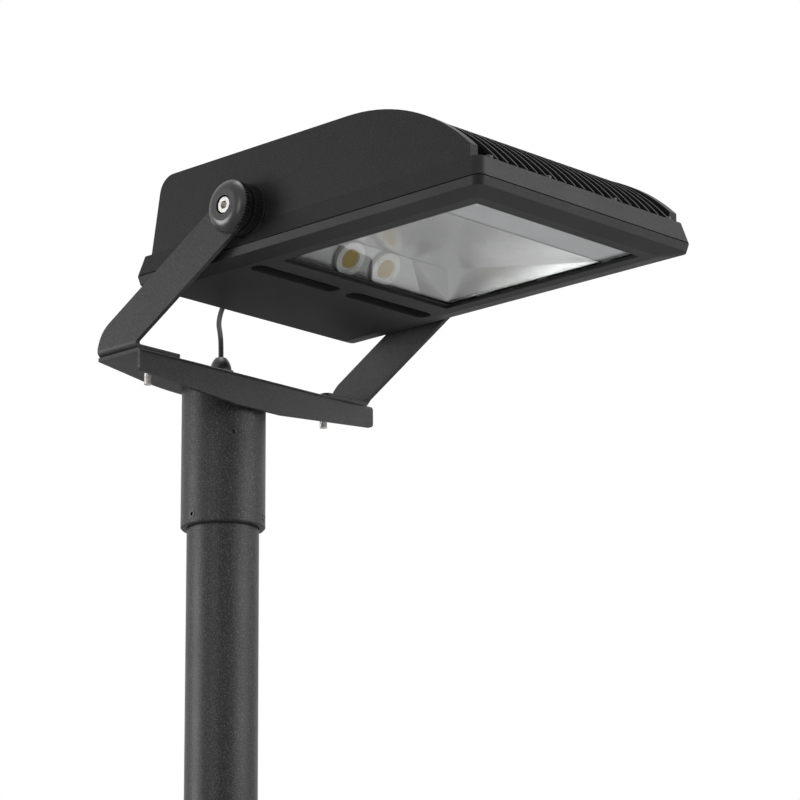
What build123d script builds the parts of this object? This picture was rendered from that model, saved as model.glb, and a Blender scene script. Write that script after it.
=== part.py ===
from build123d import *
import math
import os

# An LED floodlight on a mast top. Sizes are in millimetres.
# The origin is on the mast's axis at the stub's lower end. The beam side faces -Y.

# Mast and slip sleeve
MAST_RADIUS = 38.0
MAST_WALL = 3.6
MAST_STUB_LENGTH = 478.4
MAST_END_GAP = 0.35
MAST_END_STEP = 0.5
MAST_SHOULDER_GAP = 1.0
RUNNING_CLEARANCE = 0.08
SLEEVE_WALL = 6.4
SLEEVE_LENGTH = 150.75
SLEEVE_CHAMFER = 1.6

# Set screws of the sleeve
SET_SCREW_RADIUS = 4.0
SET_SCREW_PROUD = 0.4
SET_SCREW_GAP = 0.25
SET_SCREW_SOCKET = 4.0
LOWER_ROW_RISE = 10.0
ROW_SPACING = 85.5
LOWER_ROW_ANGLES = (60, 180, 300)
UPPER_ROW_ANGLES = (0, 120, 240)

# Saddle, a bent sheet on top of the sleeve
SHEET = 4.0
SADDLE_END_INSET = 1.0
SADDLE_FRONT = 55.65
SADDLE_REAR = 44.7
SADDLE_SHOULDER_INSET = 71.4
SADDLE_SHOULDER_Y = 29.0
SADDLE_END_Y = 8.0
SADDLE_BEND_RADIUS = 5.0
FLANGE_END_DEPTH = 24.0
FLANGE_MIDDLE_DEPTH = 35.0
FLANGE_FLAT_HALF_WIDTH = 32.0
FLANGE_CORNER = 4.5

# Arms, two bent straps bolted on the saddle
ARM_THICKNESS = 5.0
ARM_WIDTH = 44.0
ARM_BEND_RADIUS = 8.0
ARM_REAR_RADIUS = 35.0
ARM_FRONT_RADIUS = 6.0
FOOT_LENGTH = 65.4
FOOT_FRONT = 49.0
FOOT_REAR = 9.0
FOOT_CORNER = 6.0
BOLT_INSET = 42.9
BOLT_Y = -21.5
BOLT_RADIUS = 4.0
BOLT_HOLE_CLEARANCE = 0.5
BOLT_TAIL = 15.2
HEX_WIDTH = 13.0
BOLT_HEAD_HEIGHT = 4.4
NUT_HEIGHT = 6.5
WASHER_RADIUS = 8.2
WASHER_THICKNESS = 1.6

# Pivot of the head
PIVOT_FORWARD = 193.4
PIVOT_RISE = 115.95
ARM_LEAN = 59.8
PAD_RADIUS = 29.0
PAD_HEIGHT = 2.6
DISC_RADIUS = 26.5
DISC_LENGTH = 9.5
DISC_ARM_GAP = 0.3
DISC_RIBS = 48
PIVOT_WASHER_RADIUS = 15.0
KNOB_GAP = 0.2
KNOB_RADIUS = 27.0
KNOB_DEPTH = 13.5
KNOB_FLAT_RADIUS = 16.5
KNOB_SKIRT = 6.0
KNOB_RIBS = 54
RIB_DEPTH = 0.9
KNOB_WEB = 4.0
KNOB_RECESS_RADIUS = 9.6
PIVOT_SCREW_RADIUS = 5.0
PIVOT_HEAD_RADIUS = 8.0
PIVOT_HEAD_HEIGHT = 8.4
PIVOT_SOCKET = 8.0
PIVOT_BOSS_RADIUS = 14.0
PIVOT_BOSS_DEPTH = 20.0

# Head, measured from the pivot: forward is -Y, up is +Z
HEAD_HALF_WIDTH = 158.0
HEAD_FRONT = 317.8
HEAD_REAR = 158.0
HEAD_CORNER = 9.0
HEAD_REAR_CORNER = 4.0
RIM_TOP = -14.3
PARTING = -36.0
GASKET_THICKNESS = 1.0
BAND_BOTTOM = -44.7
LIP = -48.3
RIM_DRAFT = 5.0
BAND_DRAFT = 2.0
CHEEK_THICKNESS = 11.0
CROWN_RISE = 65.6
CROWN_RADIUS = 228.0
CROWN_ARC_REACH = 161.0
CROWN_FRONT_INSET = 15.6
CROWN_REAR_INSET = 17.63
CROWN_REAR_LEAN = 10.4
CROWN_REAR_CORNER = 20.0
FIN_THICKNESS = 2.4
FIN_PITCH = 13.9
FIN_INSET = 0.8
FIN_FRONT_EDGE = 0.5
ROOF_HEIGHT = 22.0
ROOF_FRONT_HEIGHT = 2.3
CASTING_WALL = 4.0
CAVITY_SIDE_WALL = 7.0
RIM_WALL = 12.0

# Lower frame and window
LIP_THICKNESS = 3.0
SIDE_BEVEL = 23.2
REAR_BEVEL = 10.6
FRAME_SIDE_WIDTH = 38.0
FRAME_FRONT_WIDTH = 37.7
WINDOW_REAR = 17.4
GLASS_OVERLAP = 8.0
GLASS_THICKNESS = 4.0
GLASS_GAP = 2.0
GLASS_SEAL_THICKNESS = 1.0
GLASS_SEAL_REAR_BAND = 5.2
SLOT_INNER_X = 8.0
SLOT_SIDE_MARGIN = 30.0
SLOT_FRONT_Y = 6.4
SLOT_WIDTH = 20.0
DUCT_MARGIN = 2.0
DUCT_WALL = 6.0
CLIP_SIZE = (16.0, 12.0, 1.5)
CLIP_SHOULDER = 8.0
CLIP_LANDING = 7.5
CLIP_SCREW_RADIUS = 1.6
CLIP_FRONT_INSET = 45.1
CLIP_REAR_INSET = 47.6
FRAME_SCREW_RADIUS = 2.5
FRAME_SCREW_HEAD_RADIUS = 4.25
FRAME_SCREW_HEAD_HEIGHT = 3.5
FRAME_SCREW_SOCKET = 4.0
FRAME_SCREW_SOCKET_DEPTH = 2.0
FRAME_SCREW_SIDE_MARGIN = 28.0
FRAME_SCREW_EDGE = 6.0
FRAME_SCREW_INNER_GAP = 3
FRAME_GASKET_INSET = 2.6
FRAME_GASKET_WIDTH = 7.0
FRAME_GASKET_BAR_SETBACK = 0.8
THREAD_GAP = 0.1

# Optics, measured from the pivot
LED_Y = -17.6
LED_Z = -21.2
LED_TILT = 35.0
LED_OFFSET = 26.0
LED_PLATE_THICKNESS = 4.0
LED_TOP_Z = -6.7
LED_BOTTOM_Z = -35.2
LED_TOP_INSET = 63.0
LED_BOTTOM_INSET = 28.0
LED_DISC_RADIUS = 11.0
LED_BOARD = (24.0, 24.0, 1.4)
LED_DISC_THICKNESS = 0.8
HOLDER_RADIUS = 18.0
HOLDER_HEIGHT = 4.0
HOLDER_TURN = -30.0
HOLDER_SCREW_REACH = 15.2
HOLDER_SCREW_RADIUS = 1.5
REFLECTOR_THICKNESS = 0.8
REFLECTOR_TOP_INSET = (10.0, 12.2)
REFLECTOR_CORNER_INSET = (2.0, 5.2)
REFLECTOR_FRONT_INSET = (1.0, 50.0)
GLASS_TOP_GAP = 0.4

# Gear in the rear chamber, measured from the pivot
TRAY_THICKNESS = 1.5
TRAY_SIDE_GAP = 6.0
TRAY_FRONT_GAP = 5.6
TRAY_REAR_GAP = 25.37
DRIVER_SIZE = (140.0, 60.0, 30.0)
DRIVER_SIDE_GAP = 9.0
DRIVER_SETBACK = 1.0
DRIVER_EAR = 7.0
TERMINAL_SIZE = (50.0, 24.0, 24.0)
TERMINAL_SIDE_GAP = 36.0
TERMINAL_SETBACK = -10.0
TERMINAL_WAYS = 5

# Cable and its two glands
CABLE_RADIUS = 2.72
SADDLE_GLAND_Y = 5.0
HEAD_GLAND_X = 30.0
HEAD_GLAND_Z = 8.0
HEAD_GLAND_BOSS_RADIUS = 13.5
GLAND_THREAD_RADIUS = 9.9
GLAND_HOLE_CLEARANCE = 0.2
GLAND_HEX_WIDTH = 24.0
GLAND_HEX_HEIGHT = 6.0
GLAND_NUT_HEIGHT = 26.0
GLAND_NUT_HEX = 12.0
GLAND_MOUTH_RADIUS = 6.2
GLAND_LOCKNUT_HEIGHT = 5.0
GLAND_TAIL = 9.0
GLAND_WALL = 1.4
MAST_LEAD_LENGTH = 110.0
LEAD_BEND = 14.0
WIRE_WAY_RADIUS = 3.4

# Pressure vent in the head's rear wall
VENT_X = -60.0
VENT_STEM_RADIUS = 6.0
VENT_STEM_LENGTH = 8.0
VENT_CAP_RADIUS = 10.0
VENT_CAP_HEIGHT = 5.0
VENT_DISH_RADIUS = 6.5
VENT_DISH_DEPTH = 1.0

# Derived places
MAST_TOP = MAST_STUB_LENGTH
SADDLE_UNDERSIDE = MAST_TOP + MAST_END_GAP
SADDLE_TOP = SADDLE_UNDERSIDE + SHEET
SLEEVE_INNER = MAST_RADIUS + RUNNING_CLEARANCE
SLEEVE_OUTER = SLEEVE_INNER + SLEEVE_WALL
SLEEVE_BOTTOM = SADDLE_UNDERSIDE - SLEEVE_LENGTH
MAST_SHOULDER_Z = SLEEVE_BOTTOM - MAST_SHOULDER_GAP
LOWER_ROW_Z = SLEEVE_BOTTOM + LOWER_ROW_RISE
UPPER_ROW_Z = LOWER_ROW_Z + ROW_SPACING
PIVOT_Z = SADDLE_TOP + PIVOT_RISE
HEAD_PLACE = Pos(0, -PIVOT_FORWARD, PIVOT_Z)
CHEEK_X = HEAD_HALF_WIDTH - RIM_DRAFT
PAD_X = CHEEK_X + PAD_HEIGHT
ARM_INNER_X = PAD_X + DISC_LENGTH + DISC_ARM_GAP
ARM_OUTER_X = ARM_INNER_X + ARM_THICKNESS
SADDLE_HALF_WIDTH = ARM_OUTER_X - SADDLE_END_INSET
SADDLE_SHOULDER_X = SADDLE_HALF_WIDTH - SADDLE_SHOULDER_INSET
FOOT_INNER_X = ARM_OUTER_X - FOOT_LENGTH
BOLT_X = ARM_OUTER_X - BOLT_INSET
FOOT_TOP = SADDLE_TOP + ARM_THICKNESS
BOLT_HEAD_Z = FOOT_TOP + WASHER_THICKNESS
BOLT_PLACES = [(x, BOLT_Y) for x in (-BOLT_X, BOLT_X)]
KNOB_START_X = ARM_OUTER_X + WASHER_THICKNESS + KNOB_GAP
PIVOT_HOLE = PIVOT_SCREW_RADIUS + RUNNING_CLEARANCE
CAVITY_X = CHEEK_X - CAVITY_SIDE_WALL
CROWN_FRONT = HEAD_FRONT - CROWN_FRONT_INSET
FIN_FRONT = HEAD_FRONT - RIM_DRAFT - FIN_FRONT_EDGE
CROWN_FLAT_FRONT = CROWN_FRONT - CROWN_ARC_REACH
CROWN_REAR = HEAD_REAR - CROWN_REAR_INSET
WINDOW_HALF_WIDTH = HEAD_HALF_WIDTH - FRAME_SIDE_WIDTH
WINDOW_FRONT = HEAD_FRONT - FRAME_FRONT_WIDTH
SLOT_OUTER_X = HEAD_HALF_WIDTH - SLOT_SIDE_MARGIN
HOUSING_BOTTOM = PARTING + GASKET_THICKNESS
LIP_TOP = LIP + LIP_THICKNESS
GLASS_BOTTOM = LIP_TOP + GLASS_SEAL_THICKNESS
GLASS_TOP = GLASS_BOTTOM + GLASS_THICKNESS
OPTIC_FLOOR = GLASS_TOP + GLASS_TOP_GAP
SLOT_CENTRE_Y = SLOT_FRONT_Y + SLOT_WIDTH / 2
DUCT_FRONT = SLOT_FRONT_Y - DUCT_MARGIN / 2 - DUCT_WALL
DUCT_REAR = SLOT_FRONT_Y + SLOT_WIDTH + DUCT_MARGIN / 2 + DUCT_WALL
LED_TOP_HALF_WIDTH = WINDOW_HALF_WIDTH - LED_TOP_INSET
LED_BOTTOM_HALF_WIDTH = WINDOW_HALF_WIDTH - LED_BOTTOM_INSET
LED_PLANE = Plane(
    origin=(0, LED_Y, LED_Z),
    x_dir=(1, 0, 0),
    z_dir=(0, -math.cos(math.radians(LED_TILT)), -math.sin(math.radians(LED_TILT))),
)

TRAY_HALF_WIDTH = CAVITY_X - TRAY_SIDE_GAP
TRAY_FRONT_Y = DUCT_REAR + TRAY_FRONT_GAP
TRAY_REAR_Y = CROWN_REAR - TRAY_REAR_GAP
TRAY_CENTRE_Y = (TRAY_FRONT_Y + TRAY_REAR_Y) / 2
TRAY_TOP = ROOF_HEIGHT - CASTING_WALL
TRAY_BOTTOM = TRAY_TOP - TRAY_THICKNESS
DRIVER_BOTTOM = TRAY_BOTTOM - DRIVER_SIZE[2]
DRIVER_CENTRE = (
    DRIVER_SIDE_GAP + DRIVER_EAR + DRIVER_SIZE[0] / 2 - CAVITY_X,
    TRAY_CENTRE_Y + DRIVER_SETBACK,
)
TERMINAL_CENTRE = (
    CAVITY_X - TERMINAL_SIDE_GAP - TERMINAL_SIZE[0] / 2,
    TRAY_CENTRE_Y + TERMINAL_SETBACK,
)

STAND = (Align.CENTER, Align.CENTER, Align.MIN)


def block(x_range, y_range, z_range):
    """A box between two values on each axis."""
    size = [high - low for low, high in (x_range, y_range, z_range)]
    corner = (x_range[0], y_range[0], z_range[0])
    return Pos(*corner) * Box(*size, align=(Align.MIN, Align.MIN, Align.MIN))


def post(radius, low, high, x=0.0, y=0.0):
    """An upright round bar from low to high."""
    return Pos(x, y, low) * Cylinder(radius, high - low, align=STAND)


def axle(radius, start, end, y=0.0, z=0.0):
    """A round bar along +X from start to end."""
    plane = Plane(origin=(start, y, z), x_dir=(0, 1, 0), z_dir=(1, 0, 0))
    return plane * Cylinder(radius, end - start, align=STAND)


def hexagon(width, low, high, x=0.0, y=0.0):
    """An upright hexagonal bar, by its width across flats."""
    outline = RegularPolygon(width / 2, 6, major_radius=False)
    return Pos(x, y, low) * extrude(outline, amount=high - low)


def side_prism(face, x_low, x_high):
    """A solid along X from a side outline drawn in (y, z)."""
    return extrude(Plane.YZ.offset(x_low) * face, amount=x_high - x_low)


def polygon(points):
    """A flat face through points in its own plane."""
    return make_face(Polyline(*points, close=True))


def ribbed_outline(radius, count):
    """A round outline with small pointed ribs."""
    points = []
    for index in range(2 * count):
        angle = math.pi * index / count
        reach = radius - (RIB_DEPTH if index % 2 else 0.0)
        points.append((reach * math.cos(angle), reach * math.sin(angle)))
    return polygon(points)


def mirrored(part):
    """The same piece on the other side of the light."""
    return mirror(part, about=Plane.YZ)


def group(solids):
    """Separate solids that share one node."""
    return Compound(children=[Part(solid.wrapped) if isinstance(solid, Solid) else solid for solid in solids])


# Mast and sleeve


def make_mast_tube():
    """A stub of the mast. Its end is turned down a little where the sleeve slips over it."""
    mast = post(MAST_RADIUS, 0, MAST_SHOULDER_Z) + post(MAST_RADIUS - MAST_END_STEP, MAST_SHOULDER_Z, MAST_TOP)
    return mast - post(MAST_RADIUS - MAST_WALL, -1, MAST_TOP + 1)


def screw_place(angle, z):
    """A frame on the sleeve's bore, its Z axis pointing outwards."""
    direction = (math.cos(math.radians(angle)), math.sin(math.radians(angle)), 0)
    reach = MAST_RADIUS + SET_SCREW_GAP
    origin = (reach * direction[0], reach * direction[1], z)
    return Plane(origin=origin, x_dir=(0, 0, 1), z_dir=direction)


def make_set_screws(angles, z):
    length = SLEEVE_OUTER + SET_SCREW_PROUD - MAST_RADIUS - SET_SCREW_GAP
    socket_depth = length * 0.5
    screws = []
    for angle in angles:
        body = Cylinder(SET_SCREW_RADIUS, length, align=STAND)
        body = body - hexagon(SET_SCREW_SOCKET, length - socket_depth, length + 1)
        screws.append(screw_place(angle, z) * body)
    return group(screws)


def make_pole_sleeve():
    sleeve = post(SLEEVE_OUTER, SLEEVE_BOTTOM, SADDLE_UNDERSIDE)
    sleeve = chamfer(sleeve.edges().sort_by(Axis.Z)[0], SLEEVE_CHAMFER)
    sleeve = sleeve - post(SLEEVE_INNER, SLEEVE_BOTTOM - 1, SADDLE_UNDERSIDE + 1)
    hole = Pos(0, 0, -SLEEVE_WALL) * Cylinder(SET_SCREW_RADIUS + 0.05, 4 * SLEEVE_WALL, align=STAND)
    for angles, z in ((LOWER_ROW_ANGLES, LOWER_ROW_Z), (UPPER_ROW_ANGLES, UPPER_ROW_Z)):
        for angle in angles:
            sleeve = sleeve - screw_place(angle, z) * hole
    return sleeve


# Saddle and arms


def saddle_plan():
    """Outline of the saddle from above."""
    rear = Polyline(
        (SADDLE_SHOULDER_X, SADDLE_SHOULDER_Y),
        (SADDLE_HALF_WIDTH, SADDLE_END_Y),
        (SADDLE_HALF_WIDTH, -SADDLE_FRONT),
        (-SADDLE_HALF_WIDTH, -SADDLE_FRONT),
        (-SADDLE_HALF_WIDTH, SADDLE_END_Y),
        (-SADDLE_SHOULDER_X, SADDLE_SHOULDER_Y),
    )
    bow = ThreePointArc(
        (-SADDLE_SHOULDER_X, SADDLE_SHOULDER_Y), (0, SADDLE_REAR), (SADDLE_SHOULDER_X, SADDLE_SHOULDER_Y)
    )
    return make_face([*rear.edges(), bow])


def make_saddle():
    deep = SADDLE_TOP - FLANGE_MIDDLE_DEPTH
    outer = polygon(
        [
            (-SADDLE_FRONT, SADDLE_TOP),
            (SADDLE_REAR + 1, SADDLE_TOP),
            (SADDLE_REAR + 1, SADDLE_UNDERSIDE),
            (-SADDLE_FRONT + SHEET, SADDLE_UNDERSIDE),
            (-SADDLE_FRONT + SHEET, deep),
            (-SADDLE_FRONT, deep),
        ]
    )
    corner = outer.vertices().sort_by_distance((-SADDLE_FRONT, SADDLE_TOP, 0))[0]
    inner = outer.vertices().sort_by_distance((-SADDLE_FRONT + SHEET, SADDLE_UNDERSIDE, 0))[0]
    outer = fillet(corner, SADDLE_BEND_RADIUS)
    inner = outer.vertices().sort_by_distance(inner.center())[0]
    outer = fillet(inner, SADDLE_BEND_RADIUS - SHEET)
    saddle = side_prism(outer, -SADDLE_HALF_WIDTH, SADDLE_HALF_WIDTH)
    plan = extrude(Pos(0, 0, deep - 1) * saddle_plan(), amount=FLANGE_MIDDLE_DEPTH + 2)
    saddle = saddle & plan
    shallow = SADDLE_TOP - FLANGE_END_DEPTH
    front_view = polygon(
        [
            (-SADDLE_HALF_WIDTH, SADDLE_TOP + 1),
            (SADDLE_HALF_WIDTH, SADDLE_TOP + 1),
            (SADDLE_HALF_WIDTH, shallow),
            (FLANGE_FLAT_HALF_WIDTH, deep),
            (-FLANGE_FLAT_HALF_WIDTH, deep),
            (-SADDLE_HALF_WIDTH, shallow),
        ]
    )
    ends = front_view.vertices().filter_by_position(Axis.Y, shallow - 0.1, shallow + 0.1)
    front_view = fillet(ends, FLANGE_CORNER)
    front_solid = extrude(Plane.XZ.offset(-SADDLE_REAR - 2) * front_view, amount=SADDLE_REAR + SADDLE_FRONT + 4)
    saddle = saddle & front_solid
    hole = GLAND_THREAD_RADIUS + GLAND_HOLE_CLEARANCE
    saddle = saddle - post(hole, SADDLE_UNDERSIDE - 1, SADDLE_TOP + 1, y=SADDLE_GLAND_Y)
    for x in (-BOLT_X, BOLT_X):
        radius = BOLT_RADIUS + BOLT_HOLE_CLEARANCE
        saddle = saddle - post(radius, SADDLE_UNDERSIDE - 1, SADDLE_TOP + 1, x, BOLT_Y)
    return saddle


def arm_side_view():
    """Outline of an arm in (y, z), from its foot to the round end at the pivot."""
    lean = math.radians(ARM_LEAN)
    along = (-math.sin(lean), math.cos(lean))
    across = (along[1], -along[0])
    half = ARM_WIDTH / 2
    pivot = (-PIVOT_FORWARD, PIVOT_Z)
    upper = (pivot[0] + half * across[0], pivot[1] + half * across[1])
    lower = (pivot[0] - half * across[0], pivot[1] - half * across[1])
    slope = along[1] / along[0]
    rear_corner = (FOOT_REAR, upper[1] + (FOOT_REAR - upper[0]) * slope)
    front_corner = (-FOOT_FRONT, lower[1] + (-FOOT_FRONT - lower[0]) * slope)
    outline = polygon(
        [lower, front_corner, (-FOOT_FRONT, SADDLE_TOP), (FOOT_REAR, SADDLE_TOP), rear_corner, upper]
    )
    rear = outline.vertices().sort_by_distance((*rear_corner, 0))[0]
    outline = fillet(rear, ARM_REAR_RADIUS)
    front = outline.vertices().sort_by_distance((*front_corner, 0))[0]
    outline = fillet(front, ARM_FRONT_RADIUS)
    return outline + Pos(*pivot) * Circle(half)


def make_right_arm():
    top = PIVOT_Z + ARM_WIDTH
    strap = polygon(
        [
            (FOOT_INNER_X, SADDLE_TOP),
            (ARM_OUTER_X, SADDLE_TOP),
            (ARM_OUTER_X, top),
            (ARM_INNER_X, top),
            (ARM_INNER_X, SADDLE_TOP + ARM_THICKNESS),
            (FOOT_INNER_X, SADDLE_TOP + ARM_THICKNESS),
        ]
    )
    outer = strap.vertices().sort_by_distance((ARM_OUTER_X, SADDLE_TOP, 0))[0]
    strap = fillet(outer, ARM_BEND_RADIUS)
    inner = strap.vertices().sort_by_distance((ARM_INNER_X, SADDLE_TOP + ARM_THICKNESS, 0))[0]
    strap = fillet(inner, ARM_BEND_RADIUS - ARM_THICKNESS)
    reach = PIVOT_FORWARD + ARM_WIDTH
    strap = extrude(Plane.XZ.offset(-FOOT_REAR - 1) * strap, amount=reach + FOOT_REAR + 1)
    arm = strap & side_prism(arm_side_view(), FOOT_INNER_X - 1, ARM_OUTER_X + 1)
    corners = arm.edges().filter_by(Axis.Z).group_by(Axis.X)[0]
    arm = fillet(corners, FOOT_CORNER)
    arm = arm - axle(PIVOT_HOLE, ARM_INNER_X - 1, ARM_OUTER_X + 1, -PIVOT_FORWARD, PIVOT_Z)
    hole = BOLT_RADIUS + BOLT_HOLE_CLEARANCE
    return arm - post(hole, SADDLE_TOP - 1, SADDLE_TOP + ARM_THICKNESS + 1, BOLT_X, BOLT_Y)


def make_bracket_bolts():
    tip = SADDLE_UNDERSIDE - NUT_HEIGHT - BOLT_TAIL
    bolts = []
    for x, y in BOLT_PLACES:
        head = hexagon(HEX_WIDTH, BOLT_HEAD_Z, BOLT_HEAD_Z + BOLT_HEAD_HEIGHT, x, y)
        bolts.append(head + post(BOLT_RADIUS, tip, BOLT_HEAD_Z, x, y))
    return group(bolts)


def make_bracket_washers():
    washers = []
    for x, y in BOLT_PLACES:
        washer = post(WASHER_RADIUS, FOOT_TOP, BOLT_HEAD_Z, x, y)
        washers.append(washer - post(BOLT_RADIUS + 0.2, FOOT_TOP - 1, BOLT_HEAD_Z + 1, x, y))
    return group(washers)


def make_bracket_nuts():
    nuts = []
    low = SADDLE_UNDERSIDE - NUT_HEIGHT
    for x, y in BOLT_PLACES:
        nut = hexagon(HEX_WIDTH, low, SADDLE_UNDERSIDE, x, y)
        nuts.append(nut - post(BOLT_RADIUS + 0.05, low - 1, SADDLE_UNDERSIDE + 1, x, y))
    return group(nuts)


# Pivot hardware, measured from the pivot, on the +X side


def make_lock_disc():
    length = ARM_INNER_X - DISC_ARM_GAP - PAD_X
    outline = ribbed_outline(DISC_RADIUS, DISC_RIBS)
    disc = extrude(Plane.YZ.offset(PAD_X) * outline, amount=length)
    return disc - axle(PIVOT_HOLE, PAD_X - 1, ARM_INNER_X + 1)


def make_pivot_washer():
    washer = axle(PIVOT_WASHER_RADIUS, ARM_OUTER_X, ARM_OUTER_X + WASHER_THICKNESS)
    return washer - axle(PIVOT_HOLE, ARM_OUTER_X - 1, KNOB_START_X + 1)


def make_knob():
    barrel = extrude(Plane.YZ.offset(KNOB_START_X) * ribbed_outline(KNOB_RADIUS, KNOB_RIBS), amount=KNOB_DEPTH)
    face_x = KNOB_START_X + KNOB_DEPTH
    skirt_x = KNOB_START_X + KNOB_SKIRT
    shoulder = ThreePointArc(
        (skirt_x, KNOB_RADIUS),
        (skirt_x + 0.62 * (face_x - skirt_x), KNOB_RADIUS - 0.36 * (KNOB_RADIUS - KNOB_FLAT_RADIUS)),
        (face_x, KNOB_FLAT_RADIUS),
    )
    sides = Polyline(
        (face_x, KNOB_FLAT_RADIUS), (face_x, 0), (KNOB_START_X, 0), (KNOB_START_X, KNOB_RADIUS), (skirt_x, KNOB_RADIUS)
    )
    dome = revolve(make_face([shoulder, *sides.edges()]), axis=Axis.X)
    knob = barrel & dome
    knob = knob - axle(KNOB_RECESS_RADIUS, KNOB_START_X + KNOB_WEB, face_x + 1)
    return knob - axle(PIVOT_HOLE, KNOB_START_X - 1, face_x)


def make_pivot_screw():
    head_x = KNOB_START_X + KNOB_WEB
    tip_x = CHEEK_X - PIVOT_BOSS_DEPTH + 2
    end_x = head_x + PIVOT_HEAD_HEIGHT
    screw = axle(PIVOT_SCREW_RADIUS, tip_x, head_x) + axle(PIVOT_HEAD_RADIUS, head_x, end_x)
    socket = Plane(origin=(end_x + 1, 0, 0), x_dir=(0, 1, 0), z_dir=(-1, 0, 0))
    return screw - socket * hexagon(PIVOT_SOCKET, 0, PIVOT_HEAD_HEIGHT * 0.6 + 1)


# Head casting, measured from the pivot


def crown_view(inset, front_reach):
    """Side outline of a cheek or fin: flat top, one long arc in front, leaning rear edge."""
    radius = CROWN_RADIUS - inset
    top = CROWN_RISE - inset
    front = -front_reach
    sweep = math.asin((-CROWN_FLAT_FRONT - front) / radius)
    arc_end_z = top - radius + radius * math.cos(sweep)
    rear = CROWN_REAR - inset
    rear_top = rear - (top - RIM_TOP) * math.tan(math.radians(CROWN_REAR_LEAN))
    arc = CenterArc((-CROWN_FLAT_FRONT, top - radius), radius, 90, math.degrees(sweep))
    sides = Polyline(
        (front, arc_end_z), (front, RIM_TOP), (rear, RIM_TOP), (rear_top, top), (-CROWN_FLAT_FRONT, top)
    )
    face = make_face([arc, *sides.edges()])
    corner = face.vertices().sort_by_distance((rear_top, top, 0))[0]
    return fillet(corner, CROWN_REAR_CORNER - inset)


def rear_wall_y(z, inset):
    """Where the leaning rear wall stands at a height."""
    return CROWN_REAR - inset - (z - RIM_TOP) * math.tan(math.radians(CROWN_REAR_LEAN))


def roof_view(wall):
    """Side outline of the casting under the fins, or of the space inside it."""
    flat = ROOF_HEIGHT - wall
    low = RIM_TOP + ROOF_FRONT_HEIGHT - wall
    inset = FIN_INSET + wall
    front = -CROWN_FRONT + inset
    bottom = HOUSING_BOTTOM
    return [
        (front, bottom),
        (front, low),
        (-CROWN_FLAT_FRONT, flat),
        (rear_wall_y(flat, inset), flat),
        (rear_wall_y(bottom, inset), bottom),
    ]


def fin_places():
    """X of each fin, evenly spaced about the middle."""
    space = CHEEK_X - CHEEK_THICKNESS - FIN_PITCH / 2
    count = int(space // FIN_PITCH)
    return [FIN_PITCH * index for index in range(-count, count + 1)]


def rounded_slab(half_width, front, rear, z):
    """The head's plan at a height, with its front corners rounder than its rear ones."""
    outline = Pos(0, (rear - front) / 2) * Rectangle(2 * half_width, rear + front)
    outline = fillet(outline.vertices().group_by(Axis.Y)[0], HEAD_CORNER)
    outline = fillet(outline.vertices().group_by(Axis.Y)[-1], HEAD_REAR_CORNER)
    return Pos(0, 0, z) * outline


def air_slots(margin, low, high):
    """Two obround columns, one each side of the middle."""
    middle = (SLOT_INNER_X + SLOT_OUTER_X) / 2
    length = SLOT_OUTER_X - SLOT_INNER_X + margin
    outline = SlotOverall(length, SLOT_WIDTH + margin)
    return [Pos(x, SLOT_CENTRE_Y, low) * extrude(outline, amount=high - low) for x in (-middle, middle)]


def frame_screw_places():
    """The seven screws that hold the lower frame: four between fins in front, three at the rear."""
    front_y = -HEAD_FRONT + RIM_DRAFT + FRAME_SCREW_EDGE
    rear_y = HEAD_REAR - RIM_DRAFT - FRAME_SCREW_EDGE
    side_x = HEAD_HALF_WIDTH - FRAME_SCREW_SIDE_MARGIN
    outer_x = fin_places()[-1] + FIN_PITCH / 2
    inner_x = (FRAME_SCREW_INNER_GAP + 0.5) * FIN_PITCH
    front = [(x, front_y) for x in (-outer_x, -inner_x, inner_x, outer_x)]
    rear = [(x, rear_y) for x in (-side_x, 0.0, side_x)]
    return front + rear


def plate_y(z, depth):
    """Y of the LED plate's face, or of a plane behind it, at a height."""
    tilt = math.radians(LED_TILT)
    return LED_Y - (z - LED_Z) * math.tan(tilt) + depth / math.cos(tilt)


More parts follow.
